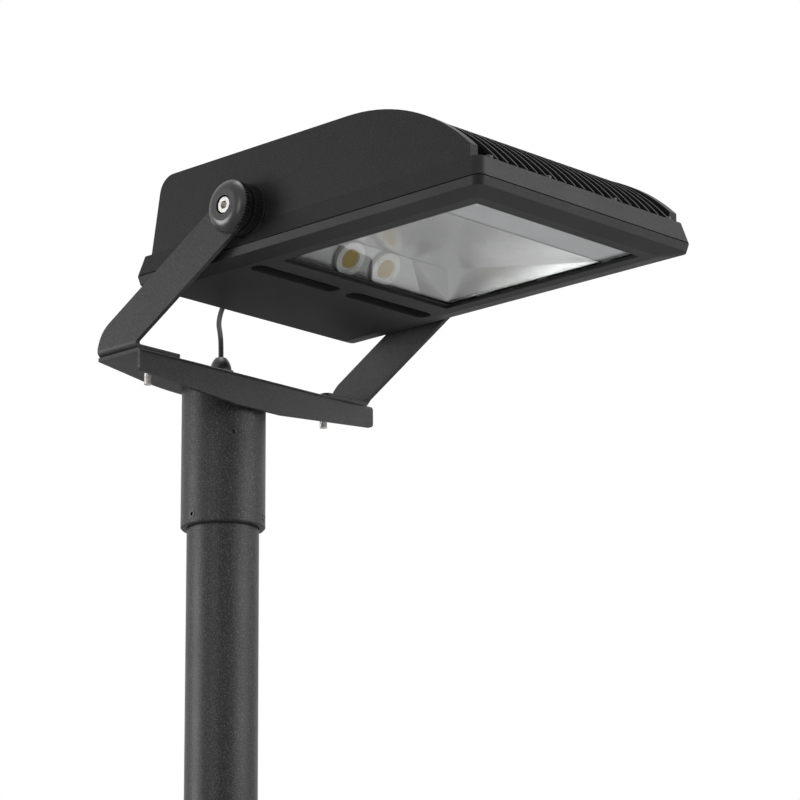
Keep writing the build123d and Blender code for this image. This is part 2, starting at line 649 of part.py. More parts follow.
def make_head_housing():
    rim = loft(
        [
            rounded_slab(HEAD_HALF_WIDTH, HEAD_FRONT, HEAD_REAR, HOUSING_BOTTOM),
            rounded_slab(CHEEK_X, HEAD_FRONT - RIM_DRAFT, HEAD_REAR - RIM_DRAFT, RIM_TOP),
        ]
    )
    core = side_prism(polygon(roof_view(0.0)), -CHEEK_X, CHEEK_X)
    added = [core]
    cheek = side_prism(crown_view(0.0, CROWN_FRONT), CHEEK_X - CHEEK_THICKNESS, CHEEK_X)
    added += [cheek, mirrored(cheek)]
    fin_face = crown_view(FIN_INSET, FIN_FRONT)
    for x in fin_places():
        added.append(side_prism(fin_face, x - FIN_THICKNESS / 2, x + FIN_THICKNESS / 2))
    pad = axle(PAD_RADIUS, CHEEK_X - 1, PAD_X)
    added += [pad, mirrored(pad)]
    housing = rim + added

    inside = side_prism(polygon(roof_view(CASTING_WALL)), -CAVITY_X, CAVITY_X)
    duct = block((-CHEEK_X, CHEEK_X), (DUCT_FRONT, DUCT_REAR), (HOUSING_BOTTOM - 1, ROOF_HEIGHT))
    pad_back = [
        (plate_y(LED_TOP_Z, LED_PLATE_THICKNESS), LED_TOP_Z),
        (plate_y(LED_BOTTOM_Z, LED_PLATE_THICKNESS), LED_BOTTOM_Z),
        (DUCT_FRONT + 1, LED_BOTTOM_Z),
        (DUCT_FRONT + 1, ROOF_HEIGHT),
        (plate_y(LED_TOP_Z, LED_PLATE_THICKNESS), ROOF_HEIGHT),
    ]
    heat_pad = side_prism(polygon(pad_back), -LED_TOP_HALF_WIDTH, LED_TOP_HALF_WIDTH)
    boss = axle(PIVOT_BOSS_RADIUS, CHEEK_X - PIVOT_BOSS_DEPTH, CHEEK_X)
    entry_boss = head_gland_plane() * Pos(0, 0, -CASTING_WALL - GLAND_TAIL)
    entry_boss = entry_boss * Cylinder(HEAD_GLAND_BOSS_RADIUS, CASTING_WALL + GLAND_TAIL, align=STAND)
    inside = inside - [duct, heat_pad, boss, mirrored(boss), entry_boss]
    housing = housing - inside

    cuts = air_slots(DUCT_MARGIN, HOUSING_BOTTOM - 1, ROOF_HEIGHT)
    bore = axle(PIVOT_HOLE, CHEEK_X - PIVOT_BOSS_DEPTH - 1, PAD_X + 1)
    cuts += [bore, mirrored(bore)]
    for x, y in frame_screw_places():
        cuts.append(post(FRAME_SCREW_RADIUS + THREAD_GAP, HOUSING_BOTTOM - 1, RIM_TOP + 1, x, y))
    cuts.append(head_gland_plane() * Pos(0, 0, -5 * CASTING_WALL) * gland_hole())
    cuts.append(vent_plane() * Pos(0, 0, -5 * CASTING_WALL) * Cylinder(VENT_STEM_RADIUS + THREAD_GAP, 40, align=STAND))
    wire_way = Plane(origin=(0, -60, 0), x_dir=(1, 0, 0), z_dir=(0, 1, 0))
    cuts.append(wire_way * Cylinder(WIRE_WAY_RADIUS, 60 + DUCT_REAR + 1, align=STAND))
    return housing - cuts


def rear_wall_plane(x, z):
    """A frame on the rear wall's outside, its Z axis pointing outwards."""
    lean = math.radians(CROWN_REAR_LEAN)
    origin = (x, rear_wall_y(z, FIN_INSET), z)
    return Plane(origin=origin, x_dir=(-1, 0, 0), z_dir=(0, math.cos(lean), math.sin(lean)))


def head_gland_plane():
    return rear_wall_plane(HEAD_GLAND_X, HEAD_GLAND_Z)


def vent_plane():
    return rear_wall_plane(VENT_X, HEAD_GLAND_Z)


def make_pressure_vent():
    cap = post(VENT_CAP_RADIUS, 0, VENT_CAP_HEIGHT)
    cap = cap - post(VENT_DISH_RADIUS, VENT_CAP_HEIGHT - VENT_DISH_DEPTH, VENT_CAP_HEIGHT + 1)
    return vent_plane() * (cap + post(VENT_STEM_RADIUS, -VENT_STEM_LENGTH, 0))


def make_lower_frame():
    outer = loft(
        [
            rounded_slab(HEAD_HALF_WIDTH, HEAD_FRONT, HEAD_REAR, PARTING),
            rounded_slab(HEAD_HALF_WIDTH - BAND_DRAFT, HEAD_FRONT - BAND_DRAFT, HEAD_REAR - BAND_DRAFT, BAND_BOTTOM),
        ]
    )
    bevel = loft(
        [
            rounded_slab(HEAD_HALF_WIDTH - BAND_DRAFT, HEAD_FRONT - BAND_DRAFT, HEAD_REAR - BAND_DRAFT, BAND_BOTTOM),
            rounded_slab(HEAD_HALF_WIDTH - SIDE_BEVEL, HEAD_FRONT - SIDE_BEVEL, HEAD_REAR - REAR_BEVEL, LIP),
        ]
    )
    frame = outer + bevel
    reach_x = WINDOW_HALF_WIDTH + GLASS_OVERLAP + GLASS_GAP
    front = -WINDOW_FRONT - GLASS_OVERLAP - GLASS_GAP
    rear = -WINDOW_REAR + GLASS_OVERLAP + GLASS_GAP
    top = PARTING + 1
    cuts = [block((-reach_x, reach_x), (front, rear), (LIP_TOP, top))]
    shoulder_x = reach_x + CLIP_SHOULDER
    cuts.append(block((-shoulder_x, shoulder_x), (front, rear), (GLASS_TOP, top)))
    cuts.append(
        block((-WINDOW_HALF_WIDTH, WINDOW_HALF_WIDTH), (-WINDOW_FRONT, -WINDOW_REAR), (LIP - 1, LIP_TOP + 1))
    )
    hollow = HEAD_HALF_WIDTH - BAND_DRAFT - RIM_WALL
    hollow_rear = HEAD_REAR - RIM_DRAFT - FRAME_SCREW_EDGE - RIM_WALL
    cuts.append(block((-hollow, hollow), (DUCT_REAR, hollow_rear), (LIP_TOP + 1, top)))
    cuts += air_slots(0.0, LIP - 1, top)
    for x, y in frame_screw_places():
        cuts.append(post(FRAME_SCREW_RADIUS + THREAD_GAP, BAND_BOTTOM + 3, top, x, y))
    for x, y in clip_screw_places():
        cuts.append(post(CLIP_SCREW_RADIUS + THREAD_GAP, LIP_TOP, top, x, y))
    return frame - cuts


def make_frame_gasket():
    """A seal in the parting line, with a bar on each side of the air slots."""
    inset = FRAME_GASKET_INSET
    width = FRAME_GASKET_WIDTH
    seal = extrude(
        rounded_slab(HEAD_HALF_WIDTH - inset, HEAD_FRONT - inset, HEAD_REAR - inset, PARTING),
        amount=GASKET_THICKNESS,
    )
    hole_x = HEAD_HALF_WIDTH - inset - width
    z_range = (PARTING - 1, PARTING + 2)
    bar_front = DUCT_FRONT + FRAME_GASKET_BAR_SETBACK
    bar_rear = DUCT_REAR - FRAME_GASKET_BAR_SETBACK
    seal = seal - block((-hole_x, hole_x), (-HEAD_FRONT + inset + width, bar_front), z_range)
    seal = seal - block((-hole_x, hole_x), (bar_rear, HEAD_REAR - inset - width), z_range)
    seal = seal - air_slots(DUCT_MARGIN, PARTING - 1, PARTING + 2)
    for x, y in frame_screw_places():
        seal = seal - post(FRAME_SCREW_RADIUS + THREAD_GAP, PARTING - 1, PARTING + 2, x, y)
    return seal


def make_frame_screws():
    screws = []
    for x, y in frame_screw_places():
        shank = post(FRAME_SCREW_RADIUS, BAND_BOTTOM + 4, RIM_TOP, x, y)
        head_top = RIM_TOP + FRAME_SCREW_HEAD_HEIGHT
        head = post(FRAME_SCREW_HEAD_RADIUS, RIM_TOP, head_top, x, y)
        socket = hexagon(FRAME_SCREW_SOCKET, head_top - FRAME_SCREW_SOCKET_DEPTH, head_top + 1, x, y)
        screws.append(shank + head - socket)
    return group(screws)


# Glass and its seal


def glass_plan(edge):
    """X and Y ranges of the glass, larger or smaller by an edge."""
    half = WINDOW_HALF_WIDTH + GLASS_OVERLAP + edge
    return (-half, half), (-WINDOW_FRONT - GLASS_OVERLAP - edge, -WINDOW_REAR + GLASS_OVERLAP + edge)


def make_front_glass():
    return block(*glass_plan(0.0), (GLASS_BOTTOM, GLASS_TOP))


def make_glass_seal():
    seal = block(*glass_plan(1.0), (LIP_TOP, GLASS_BOTTOM))
    half = WINDOW_HALF_WIDTH + 0.6
    y_range = (-WINDOW_FRONT - 0.6, -WINDOW_REAR - GLASS_SEAL_REAR_BAND)
    return seal - block((-half, half), y_range, (LIP_TOP - 1, GLASS_BOTTOM + 1))


def clip_screw_places():
    x = WINDOW_HALF_WIDTH + GLASS_OVERLAP + GLASS_GAP + CLIP_SHOULDER / 2 + 0.5
    front, rear = -WINDOW_FRONT + CLIP_FRONT_INSET, -WINDOW_REAR - CLIP_REAR_INSET
    return [(side * x, y) for side in (-1, 1) for y in (front, (front + rear) / 2, rear)]


def make_glass_clips():
    length, width, thickness = CLIP_SIZE
    outer = WINDOW_HALF_WIDTH + GLASS_OVERLAP + GLASS_GAP + CLIP_LANDING
    clips = []
    for x, y in clip_screw_places():
        x_range = sorted((math.copysign(outer, x), math.copysign(outer - length, x)))
        clip = block(x_range, (y - width / 2, y + width / 2), (GLASS_TOP, GLASS_TOP + thickness))
        clips.append(clip - post(CLIP_SCREW_RADIUS + THREAD_GAP, LIP_TOP, GLASS_TOP + 5, x, y))
    return group(clips)


def make_clip_screws():
    seat = GLASS_TOP + CLIP_SIZE[2]
    screws = []
    for x, y in clip_screw_places():
        shank = post(CLIP_SCREW_RADIUS, LIP_TOP + 1, seat, x, y)
        screws.append(shank + post(2 * CLIP_SCREW_RADIUS, seat, seat + 1.8, x, y))
    return group(screws)


def make_front_shade():
    """The flat strip behind the front of the glass."""
    y_range = (-WINDOW_FRONT - 1, FRONT_CORNER[1] - 0.6)
    half = WINDOW_HALF_WIDTH + 1
    return block((-half, half), y_range, (OPTIC_FLOOR, OPTIC_FLOOR + REFLECTOR_THICKNESS))


# Reflector sheets and LEDs


def sheet(points, outward):
    """A thin flat sheet through points, thickened to the outward side."""
    face = make_face(Polyline(*points, close=True)).face()
    normal = face.normal_at()
    if normal.dot(Vector(*outward)) < 0:
        normal = -normal
    return extrude(face, amount=REFLECTOR_THICKNESS, dir=normal)


REAR_TOP_CORNER = (
    WINDOW_HALF_WIDTH - REFLECTOR_TOP_INSET[0], -WINDOW_REAR - REFLECTOR_TOP_INSET[1], LED_TOP_Z
)
REAR_LOW_CORNER = (
    WINDOW_HALF_WIDTH - REFLECTOR_CORNER_INSET[0], -WINDOW_REAR - REFLECTOR_CORNER_INSET[1], OPTIC_FLOOR
)
FRONT_CORNER = (
    WINDOW_HALF_WIDTH - REFLECTOR_FRONT_INSET[0], -WINDOW_FRONT + REFLECTOR_FRONT_INSET[1], OPTIC_FLOOR
)
PLATE_TOP_CORNER = (LED_TOP_HALF_WIDTH, plate_y(LED_TOP_Z, 0.0), LED_TOP_Z)
PLATE_LOW_CORNER = (LED_BOTTOM_HALF_WIDTH, plate_y(LED_BOTTOM_Z, 0.0), LED_BOTTOM_Z)


def make_roof_reflector():
    left = [(-x, y, z) for x, y, z in (FRONT_CORNER, REAR_TOP_CORNER)]
    return sheet([REAR_TOP_CORNER, FRONT_CORNER, *left], (0, 0, 1))


def make_side_reflectors():
    right = sheet([REAR_TOP_CORNER, REAR_LOW_CORNER, FRONT_CORNER], (1, 0, 0))
    return group([right, mirrored(right)])


def make_corner_reflectors():
    lower = sheet([PLATE_TOP_CORNER, PLATE_LOW_CORNER, REAR_LOW_CORNER], (0.5, 1, 0))
    upper = sheet([PLATE_TOP_CORNER, REAR_LOW_CORNER, REAR_TOP_CORNER], (0.5, 1, 0))
    return group([lower, upper, mirrored(lower), mirrored(upper)])


def make_led_plate():
    tilt = math.cos(math.radians(LED_TILT))
    top = (LED_TOP_Z - LED_Z) / tilt
    bottom = (LED_BOTTOM_Z - LED_Z) / tilt
    outline = polygon(
        [
            (-LED_TOP_HALF_WIDTH, top),
            (LED_TOP_HALF_WIDTH, top),
            (LED_BOTTOM_HALF_WIDTH, bottom),
            (-LED_BOTTOM_HALF_WIDTH, bottom),
        ]
    )
    return extrude(LED_PLANE * outline, amount=-LED_PLATE_THICKNESS)


LED_PLACES = [LED_PLANE * Pos(x, 0, 0) * Rot(0, 0, HOLDER_TURN) for x in (-LED_OFFSET, LED_OFFSET)]


def make_led_boards():
    board = Box(*LED_BOARD, align=STAND)
    return group([place * board for place in LED_PLACES])


def make_led_discs():
    disc = Pos(0, 0, LED_BOARD[2]) * Cylinder(LED_DISC_RADIUS, LED_DISC_THICKNESS, align=STAND)
    return group([place * disc for place in LED_PLACES])


def make_led_holders():
    holder = Cylinder(HOLDER_RADIUS, HOLDER_HEIGHT, align=STAND)
    holder = holder - Cylinder(LED_DISC_RADIUS + 0.3, HOLDER_HEIGHT + 1, align=STAND)
    holder = holder - Box(LED_BOARD[0] + 0.4, LED_BOARD[1] + 0.4, LED_BOARD[2] + 0.1, align=STAND)
    for reach in (-HOLDER_SCREW_REACH, HOLDER_SCREW_REACH):
        holder = holder - Pos(reach, 0, 0) * Cylinder(HOLDER_SCREW_RADIUS + THREAD_GAP, HOLDER_HEIGHT + 1, align=STAND)
    return group([place * holder for place in LED_PLACES])


def make_holder_screws():
    shank = Cylinder(HOLDER_SCREW_RADIUS, HOLDER_HEIGHT, align=STAND)
    head = Pos(0, 0, HOLDER_HEIGHT) * Cylinder(HOLDER_SCREW_RADIUS + 1.1, 1.2, align=STAND)
    slot = Pos(0, 0, HOLDER_HEIGHT + 0.6) * Box(4 * HOLDER_SCREW_RADIUS, 0.7, 1.0, align=STAND)
    screw = shank + head - slot
    reaches = (-HOLDER_SCREW_REACH, HOLDER_SCREW_REACH)
    return group([place * Pos(reach, 0, 0) * screw for place in LED_PLACES for reach in reaches])


# Gear in the rear chamber


def driver_screw_places():
    x, y = DRIVER_CENTRE
    reach = DRIVER_SIZE[0] / 2 + DRIVER_EAR / 2
    return [(x - reach, y), (x + reach, y)]


def make_gear_tray():
    tray = block((-TRAY_HALF_WIDTH, TRAY_HALF_WIDTH), (TRAY_FRONT_Y, TRAY_REAR_Y), (TRAY_BOTTOM, TRAY_TOP))
    for x, y in driver_screw_places():
        tray = tray - post(1.8, TRAY_BOTTOM - 1, TRAY_TOP + 1, x, y)
    return tray


def make_led_driver():
    x, y = DRIVER_CENTRE
    case = Pos(x, y, DRIVER_BOTTOM) * Box(*DRIVER_SIZE, align=STAND)
    case = fillet(case.edges().filter_by(Axis.Z), 3.0)
    ears = Pos(x, y, TRAY_BOTTOM - 2.0) * Box(DRIVER_SIZE[0] + 2 * DRIVER_EAR, 14.0, 2.0, align=STAND)
    driver = case + ears
    for x, y in driver_screw_places():
        driver = driver - post(1.8, TRAY_BOTTOM - 3, TRAY_BOTTOM + 1, x, y)
    return driver


def make_driver_screws():
    screws = []
    for x, y in driver_screw_places():
        head = post(3.0, TRAY_BOTTOM - 4.2, TRAY_BOTTOM - 2, x, y)
        screws.append(head + post(1.7, TRAY_BOTTOM - 2, TRAY_TOP - 0.2, x, y))
    return group(screws)


def make_terminal_block():
    x, y = TERMINAL_CENTRE
    length, width, height = TERMINAL_SIZE
    terminal = Pos(x, y, TRAY_BOTTOM - height) * Box(*TERMINAL_SIZE, align=STAND)
    pitch = length / TERMINAL_WAYS
    for index in range(TERMINAL_WAYS):
        way_x = x + pitch * (index - (TERMINAL_WAYS - 1) / 2)
        terminal = terminal - post(2.0, TRAY_BOTTOM - height - 1, TRAY_BOTTOM - height + 5, way_x, y)
    return terminal


# Cable glands, each made on a plane whose Z axis points out of the wall


def gland_hole():
    return Cylinder(GLAND_THREAD_RADIUS + GLAND_HOLE_CLEARANCE, 6 * CASTING_WALL, align=STAND)


GLAND_BORE = CABLE_RADIUS + 1.2
GLAND_SPIGOT = GLAND_THREAD_RADIUS - 0.6
SPIGOT_TOP = GLAND_HEX_HEIGHT + 13.0
NUT_BOTTOM = GLAND_HEX_HEIGHT + 0.2
NUT_TOP = NUT_BOTTOM + GLAND_NUT_HEIGHT


def gland_body(wall):
    body = hexagon(GLAND_HEX_WIDTH, 0, GLAND_HEX_HEIGHT)
    body = body + post(GLAND_THREAD_RADIUS, -wall - GLAND_TAIL, 0)
    body = body + post(GLAND_SPIGOT, GLAND_HEX_HEIGHT, SPIGOT_TOP)
    return body - post(GLAND_BORE, -wall - GLAND_TAIL - 1, SPIGOT_TOP + 1)


def gland_nut():
    """A hexagonal skirt under a dome that closes on the cable's seal."""
    skirt = hexagon(GLAND_HEX_WIDTH, NUT_BOTTOM, NUT_BOTTOM + GLAND_NUT_HEX)
    shoulder_z = NUT_BOTTOM + GLAND_NUT_HEX
    dome_radius = GLAND_HEX_WIDTH / 2 - 0.6
    dome = ThreePointArc(
        (dome_radius, shoulder_z),
        (dome_radius - 1.8, shoulder_z + 0.62 * (NUT_TOP - shoulder_z)),
        (GLAND_MOUTH_RADIUS, NUT_TOP),
    )
    sides = Polyline((GLAND_MOUTH_RADIUS, NUT_TOP), (0, NUT_TOP), (0, shoulder_z), (dome_radius, shoulder_z))
    cap = revolve(Plane.XZ * make_face([dome, *sides.edges()]), axis=Axis.Z)
    nut = skirt + cap
    nut = nut - post(GLAND_SPIGOT + 0.15, NUT_BOTTOM - 1, SPIGOT_TOP + 2)
    return nut - post(GLAND_MOUTH_RADIUS - GLAND_WALL, SPIGOT_TOP, NUT_TOP + 1)


def gland_seal():
    """The rubber ring in the dome's mouth, on the spigot's end."""
    seal = post(GLAND_MOUTH_RADIUS - GLAND_WALL - 0.05, SPIGOT_TOP, NUT_TOP)
    flange = post(GLAND_SPIGOT - 0.2, SPIGOT_TOP, SPIGOT_TOP + 1.8)
    return seal + flange - post(CABLE_RADIUS + 0.05, SPIGOT_TOP - 1, NUT_TOP + 1)


def gland_locknut(wall):
    nut = hexagon(GLAND_HEX_WIDTH, -wall - GLAND_LOCKNUT_HEIGHT, -wall)
    return nut - post(GLAND_THREAD_RADIUS + 0.05, -wall - GLAND_LOCKNUT_HEIGHT - 1, -wall + 1)


SADDLE_GLAND = Plane(origin=(0, SADDLE_GLAND_Y, SADDLE_TOP), x_dir=(1, 0, 0), z_dir=(0, 0, 1))


# Cables


def tube(points, radii):
    """A round lead along straight runs joined by arcs."""
    path = FilletPolyline(*points, radius=radii)
    start = Plane(origin=path.position_at(0), z_dir=path.tangent_at(0))
    lead = sweep(start * Circle(CABLE_RADIUS), path=path)
    expected = math.pi * CABLE_RADIUS**2 * path.length
    print("lead length", round(path.length, 1), "volume over section times length", round(lead.volume / expected, 4))
    return lead


def bend_radii(points):
    """The largest arc at each point that leaves both its runs room."""
    vectors = [Vector(*end) - Vector(*start) for start, end in zip(points, points[1:])]
    radii = []
    for before, after in zip(vectors, vectors[1:]):
        half_turn = math.radians(before.get_angle(after)) / 2
        radii.append(0.45 * min(before.length, after.length) / math.tan(half_turn))
    print("bend radii", [round(radius, 1) for radius in radii])
    return radii


CABLE_START = (0.0, SADDLE_GLAND_Y, SADDLE_TOP + NUT_TOP)
CABLE_ROUTE = [
    (0.0, 5.0, 531.0),
    (5.0, 12.0, 546.0),
    (12.0, 22.0, 559.0),
    (20.5, 28.5, 573.5),
    (27.0, 28.0, 589.0),
    (31.5, 20.0, 602.0),
    (32.5, 6.5, 611.5),
]


def head_gland_mouth():
    """Centre of the head gland's mouth, and a point a little way out along its axis."""
    plane = head_gland_plane()
    mouth = HEAD_PLACE.position + plane.origin + plane.z_dir * NUT_TOP
    return tuple(mouth), tuple(mouth + plane.z_dir * 12.0)


def make_supply_cable():
    mouth, approach = head_gland_mouth()
    points = [CABLE_START, *CABLE_ROUTE, approach, mouth]
    return tube(points, bend_radii(points))


def make_mast_lead():
    low = SADDLE_TOP + NUT_TOP - MAST_LEAD_LENGTH
    return post(CABLE_RADIUS, low, SADDLE_TOP + NUT_TOP, y=SADDLE_GLAND_Y)


def make_head_lead():
    """From the gland's mouth through the rear wall to the terminal block."""
    plane = head_gland_plane()
    mouth = plane.origin + plane.z_dir * NUT_TOP
    inner = plane.origin - plane.z_dir * (CASTING_WALL + GLAND_TAIL + 8.0)
    entry_y = TERMINAL_CENTRE[1] + TERMINAL_SIZE[1] / 2
    way_x = TERMINAL_CENTRE[0] - TERMINAL_SIZE[0] / 2 + TERMINAL_SIZE[0] / TERMINAL_WAYS / 2
    turn = (way_x, entry_y + 16.0, inner.Z)
    points = [tuple(mouth), tuple(inner), turn, (way_x, entry_y, inner.Z)]
    return tube(points, [LEAD_BEND, LEAD_BEND])


def in_head(part):
    return HEAD_PLACE * part


def right_and_left(name, part):
    """The two mirrored nodes of a piece that is made for the +X side."""
    return {f"right_{name}": part, f"left_{name}": mirrored(part)}


right_washer = in_head(make_pivot_washer())
nodes = {
    "mast_tube": make_mast_tube(),
    "pole_sleeve": make_pole_sleeve(),
    "lower_set_screws": make_set_screws(LOWER_ROW_ANGLES, LOWER_ROW_Z),
    "upper_set_screws": make_set_screws(UPPER_ROW_ANGLES, UPPER_ROW_Z),
    "saddle_channel": make_saddle(),
    **right_and_left("arm", make_right_arm()),
    "bracket_bolts": make_bracket_bolts(),
    "bracket_washers": make_bracket_washers(),
    "bracket_nuts": make_bracket_nuts(),
    "pivot_washers": group([right_washer, mirrored(right_washer)]),
    "saddle_gland_body": SADDLE_GLAND * gland_body(SHEET),
    "saddle_gland_nut": SADDLE_GLAND * gland_nut(),
    "saddle_gland_seal": SADDLE_GLAND * gland_seal(),
    "saddle_gland_locknut": SADDLE_GLAND * gland_locknut(SHEET),
    "mast_lead": make_mast_lead(),
    "supply_cable": make_supply_cable(),
    "head_housing": in_head(make_head_housing()),
    "lower_frame": in_head(make_lower_frame()),
    "frame_gasket": in_head(make_frame_gasket()),
    "frame_screws": in_head(make_frame_screws()),
    "front_glass": in_head(make_front_glass()),
    "glass_seal": in_head(make_glass_seal()),
    "glass_clips": in_head(make_glass_clips()),
    "clip_screws": in_head(make_clip_screws()),
    "front_shade": in_head(make_front_shade()),
    "roof_reflector": in_head(make_roof_reflector()),
    "side_reflectors": in_head(make_side_reflectors()),
    "corner_reflectors": in_head(make_corner_reflectors()),
    "led_plate": in_head(make_led_plate()),
    "led_boards": in_head(make_led_boards()),
    "led_discs": in_head(make_led_discs()),
    "led_holders": in_head(make_led_holders()),
    "holder_screws": in_head(make_holder_screws()),
    "gear_tray": in_head(make_gear_tray()),
    "led_driver": in_head(make_led_driver()),
    "driver_screws": in_head(make_driver_screws()),
    "terminal_block": in_head(make_terminal_block()),
    "pressure_vent": in_head(make_pressure_vent()),
    "head_gland_body": in_head(head_gland_plane() * gland_body(CASTING_WALL)),
    "head_gland_nut": in_head(head_gland_plane() * gland_nut()),
    "head_gland_seal": in_head(head_gland_plane() * gland_seal()),
    "head_lead": in_head(make_head_lead()),
    **right_and_left("lock_disc", in_head(make_lock_disc())),
    **right_and_left("knob", in_head(make_knob())),
    **right_and_left("pivot_screw", in_head(make_pivot_screw())),
}

os.makedirs("parts", exist_ok=True)
for name, part in nodes.items():
    export_step(part, f"parts/{name}.step")
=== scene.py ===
# %% [markdown]
# # An LED floodlight on a mast top
# This lesson dresses a finished CAD model in Blender. The model comes in as a fixed frame:
# its parts have their real size in metres, and they stay where they are. What is left to do
# is what a photographer and a paint shop would do: the camera, the lead that bends with the
# head, the small made pieces that a drawing leaves out, and a finish for every surface.

# %% Load the frame
import math

import bmesh
import bpy
from mathutils import Matrix, Vector


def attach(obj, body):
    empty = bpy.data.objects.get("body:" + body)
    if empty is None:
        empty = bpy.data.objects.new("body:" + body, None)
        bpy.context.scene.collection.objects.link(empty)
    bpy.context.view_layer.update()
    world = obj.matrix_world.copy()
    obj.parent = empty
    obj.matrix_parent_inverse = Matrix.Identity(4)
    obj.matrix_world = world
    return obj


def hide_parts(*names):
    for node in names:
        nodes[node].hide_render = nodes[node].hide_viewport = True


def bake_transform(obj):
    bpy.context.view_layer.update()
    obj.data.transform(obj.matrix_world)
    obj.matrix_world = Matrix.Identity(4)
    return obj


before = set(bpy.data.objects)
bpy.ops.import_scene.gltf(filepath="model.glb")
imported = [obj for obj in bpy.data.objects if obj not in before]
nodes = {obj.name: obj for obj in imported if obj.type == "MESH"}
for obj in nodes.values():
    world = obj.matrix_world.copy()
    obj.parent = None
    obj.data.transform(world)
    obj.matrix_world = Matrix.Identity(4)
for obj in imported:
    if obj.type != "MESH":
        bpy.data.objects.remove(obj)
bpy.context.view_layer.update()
scene = bpy.context.scene

# %% [markdown]
# ## The camera
# The picture was taken with a long lens from in front of the light, to its left, and from
# below, so that the underside with its window shows. A long lens far away keeps parallel
# edges nearly parallel, which is why catalogue pictures use one. The camera is turned by its
# heading and its upward pitch, as on a tripod, and by a third of a degree of roll.

# %% Set the camera
CAMERA_PLACE = (-2.3603, -2.5053, -0.4366)
CAMERA_HEADING = 46.398
CAMERA_PITCH = 14.736
CAMERA_ROLL = -0.35
LENS = 151.08
SENSOR = 36.0
FARTHEST_SEEN = 50

camera = bpy.data.objects.new("catalogue_camera", bpy.data.cameras.new("catalogue_camera"))
camera.data.lens = LENS
camera.data.sensor_width = SENSOR
camera.data.clip_end = FARTHEST_SEEN
heading_turn = Matrix.Rotation(-math.radians(CAMERA_HEADING), 4, "Z")
pitch_turn = Matrix.Rotation(math.radians(90 + CAMERA_PITCH), 4, "X")
roll_turn = Matrix.Rotation(math.radians(CAMERA_ROLL), 4, "Z")
camera.location = CAMERA_PLACE
camera.rotation_euler = (heading_turn @ pitch_turn @ roll_turn).to_euler()
scene.collection.objects.link(camera)
scene.camera = camera
print("camera", CAMERA_PLACE, "lens", LENS)

# %% [markdown]
# ## The supply lead
# A round rubber lead rises from the gland on the bracket, swings out to one side and enters
# the gland in the head's rear wall. It could be a curve with a round bevel, but the head
# tilts and the lead has to bend with it, so it becomes a mesh tube. Its line is still a smooth
# NURBS spline through the route's points: the order is set after the points are added, because
# set before it would fall back to straight runs.

# %% Draw the lead's line
LEAD_DIAMETER = 0.00544
LEAD_STEPS = 12
LEAD_ROUTE = [
    (0.0, 0.005, 0.51495),
    (0.0, 0.005, 0.531),
    (0.005, 0.012, 0.546),
    (0.012, 0.022, 0.559),
    (0.0205, 0.0285, 0.5735),
    (0.027, 0.028, 0.589),
    (0.0315, 0.020, 0.602),
    (0.0325, 0.0065, 0.6115),
    (0.030, -0.01445, 0.61468),
    (0.030, -0.02626, 0.61252),
]


def smooth_line(name, points, steps):
    """Points along a NURBS spline that has these control points."""
    curve = bpy.data.curves.new(name, "CURVE")
    curve.dimensions = "3D"
    spline = curve.splines.new("NURBS")
    spline.points.add(len(points) - 1)
    for control, point in zip(spline.points, points):
        control.co = (*point, 1.0)
    spline.order_u = 3
    spline.use_endpoint_u = True
    spline.resolution_u = steps
    holder = bpy.data.objects.new(name, curve)
    mesh = bpy.data.meshes.new_from_object(holder)
    line = [vertex.co.copy() for vertex in mesh.vertices]
    bpy.data.objects.remove(holder)
    bpy.data.meshes.remove(mesh)
    return line


lead_line = smooth_line("lead_line", LEAD_ROUTE, LEAD_STEPS)

# %% [markdown]
# ## From a bmesh to a piece
# Every new piece is shaped in a bmesh, then becomes an object that sits at the origin with
# its place in its mesh, as the CAD parts do. One helper does that for all of them: it merges
# doubles, smooths the shading and names the body that the piece moves with.

# %% Helpers for new pieces
SAME_POINT = 1e-6
SHARP_ANGLE = math.radians(35)
made_pieces = []


def finish_piece(shape, name, body, slot, replaced=()):
    """Turn a bmesh into an object that rides on a body and takes a slot's finish."""
    bmesh.ops.remove_doubles(shape, verts=shape.verts, dist=SAME_POINT)
    bmesh.ops.recalc_face_normals(shape, faces=shape.faces)
    for face in shape.faces:
        face.smooth = True
    for edge in shape.edges:
        if len(edge.link_faces) == 2 and edge.calc_face_angle() > SHARP_ANGLE:
            edge.smooth = False
    mesh = bpy.data.meshes.new(name)
    shape.to_mesh(mesh)
    shape.free()
    piece = bpy.data.objects.new(name, mesh)
    scene.collection.objects.link(piece)
    if body:
        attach(piece, body)
    if replaced:
        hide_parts(*replaced)
    made_pieces.append((piece, slot))
    print(name, "faces", len(mesh.polygons))
    return piece


def frame_along(origin, direction, side=(1, 0, 0)):
    """A matrix whose Z axis is the direction, with its X axis near the side."""
    z_axis = Vector(direction).normalized()
    y_axis = z_axis.cross(Vector(side)).normalized()
    x_axis = y_axis.cross(z_axis)
    turn = Matrix((x_axis, y_axis, z_axis)).transposed().to_4x4()
    return Matrix.Translation(origin) @ turn


# %% [markdown]
# ### A tube along a line
# A tube is a circle pushed along the line: at each point the open edge is extruded, moved and
# turned by as much as the line turns there. Turning it only that far keeps the tube from
# twisting, which a fixed upward direction would not do where the line climbs.

# %% Sweep the lead's tube
LEAD_SIDES = 20


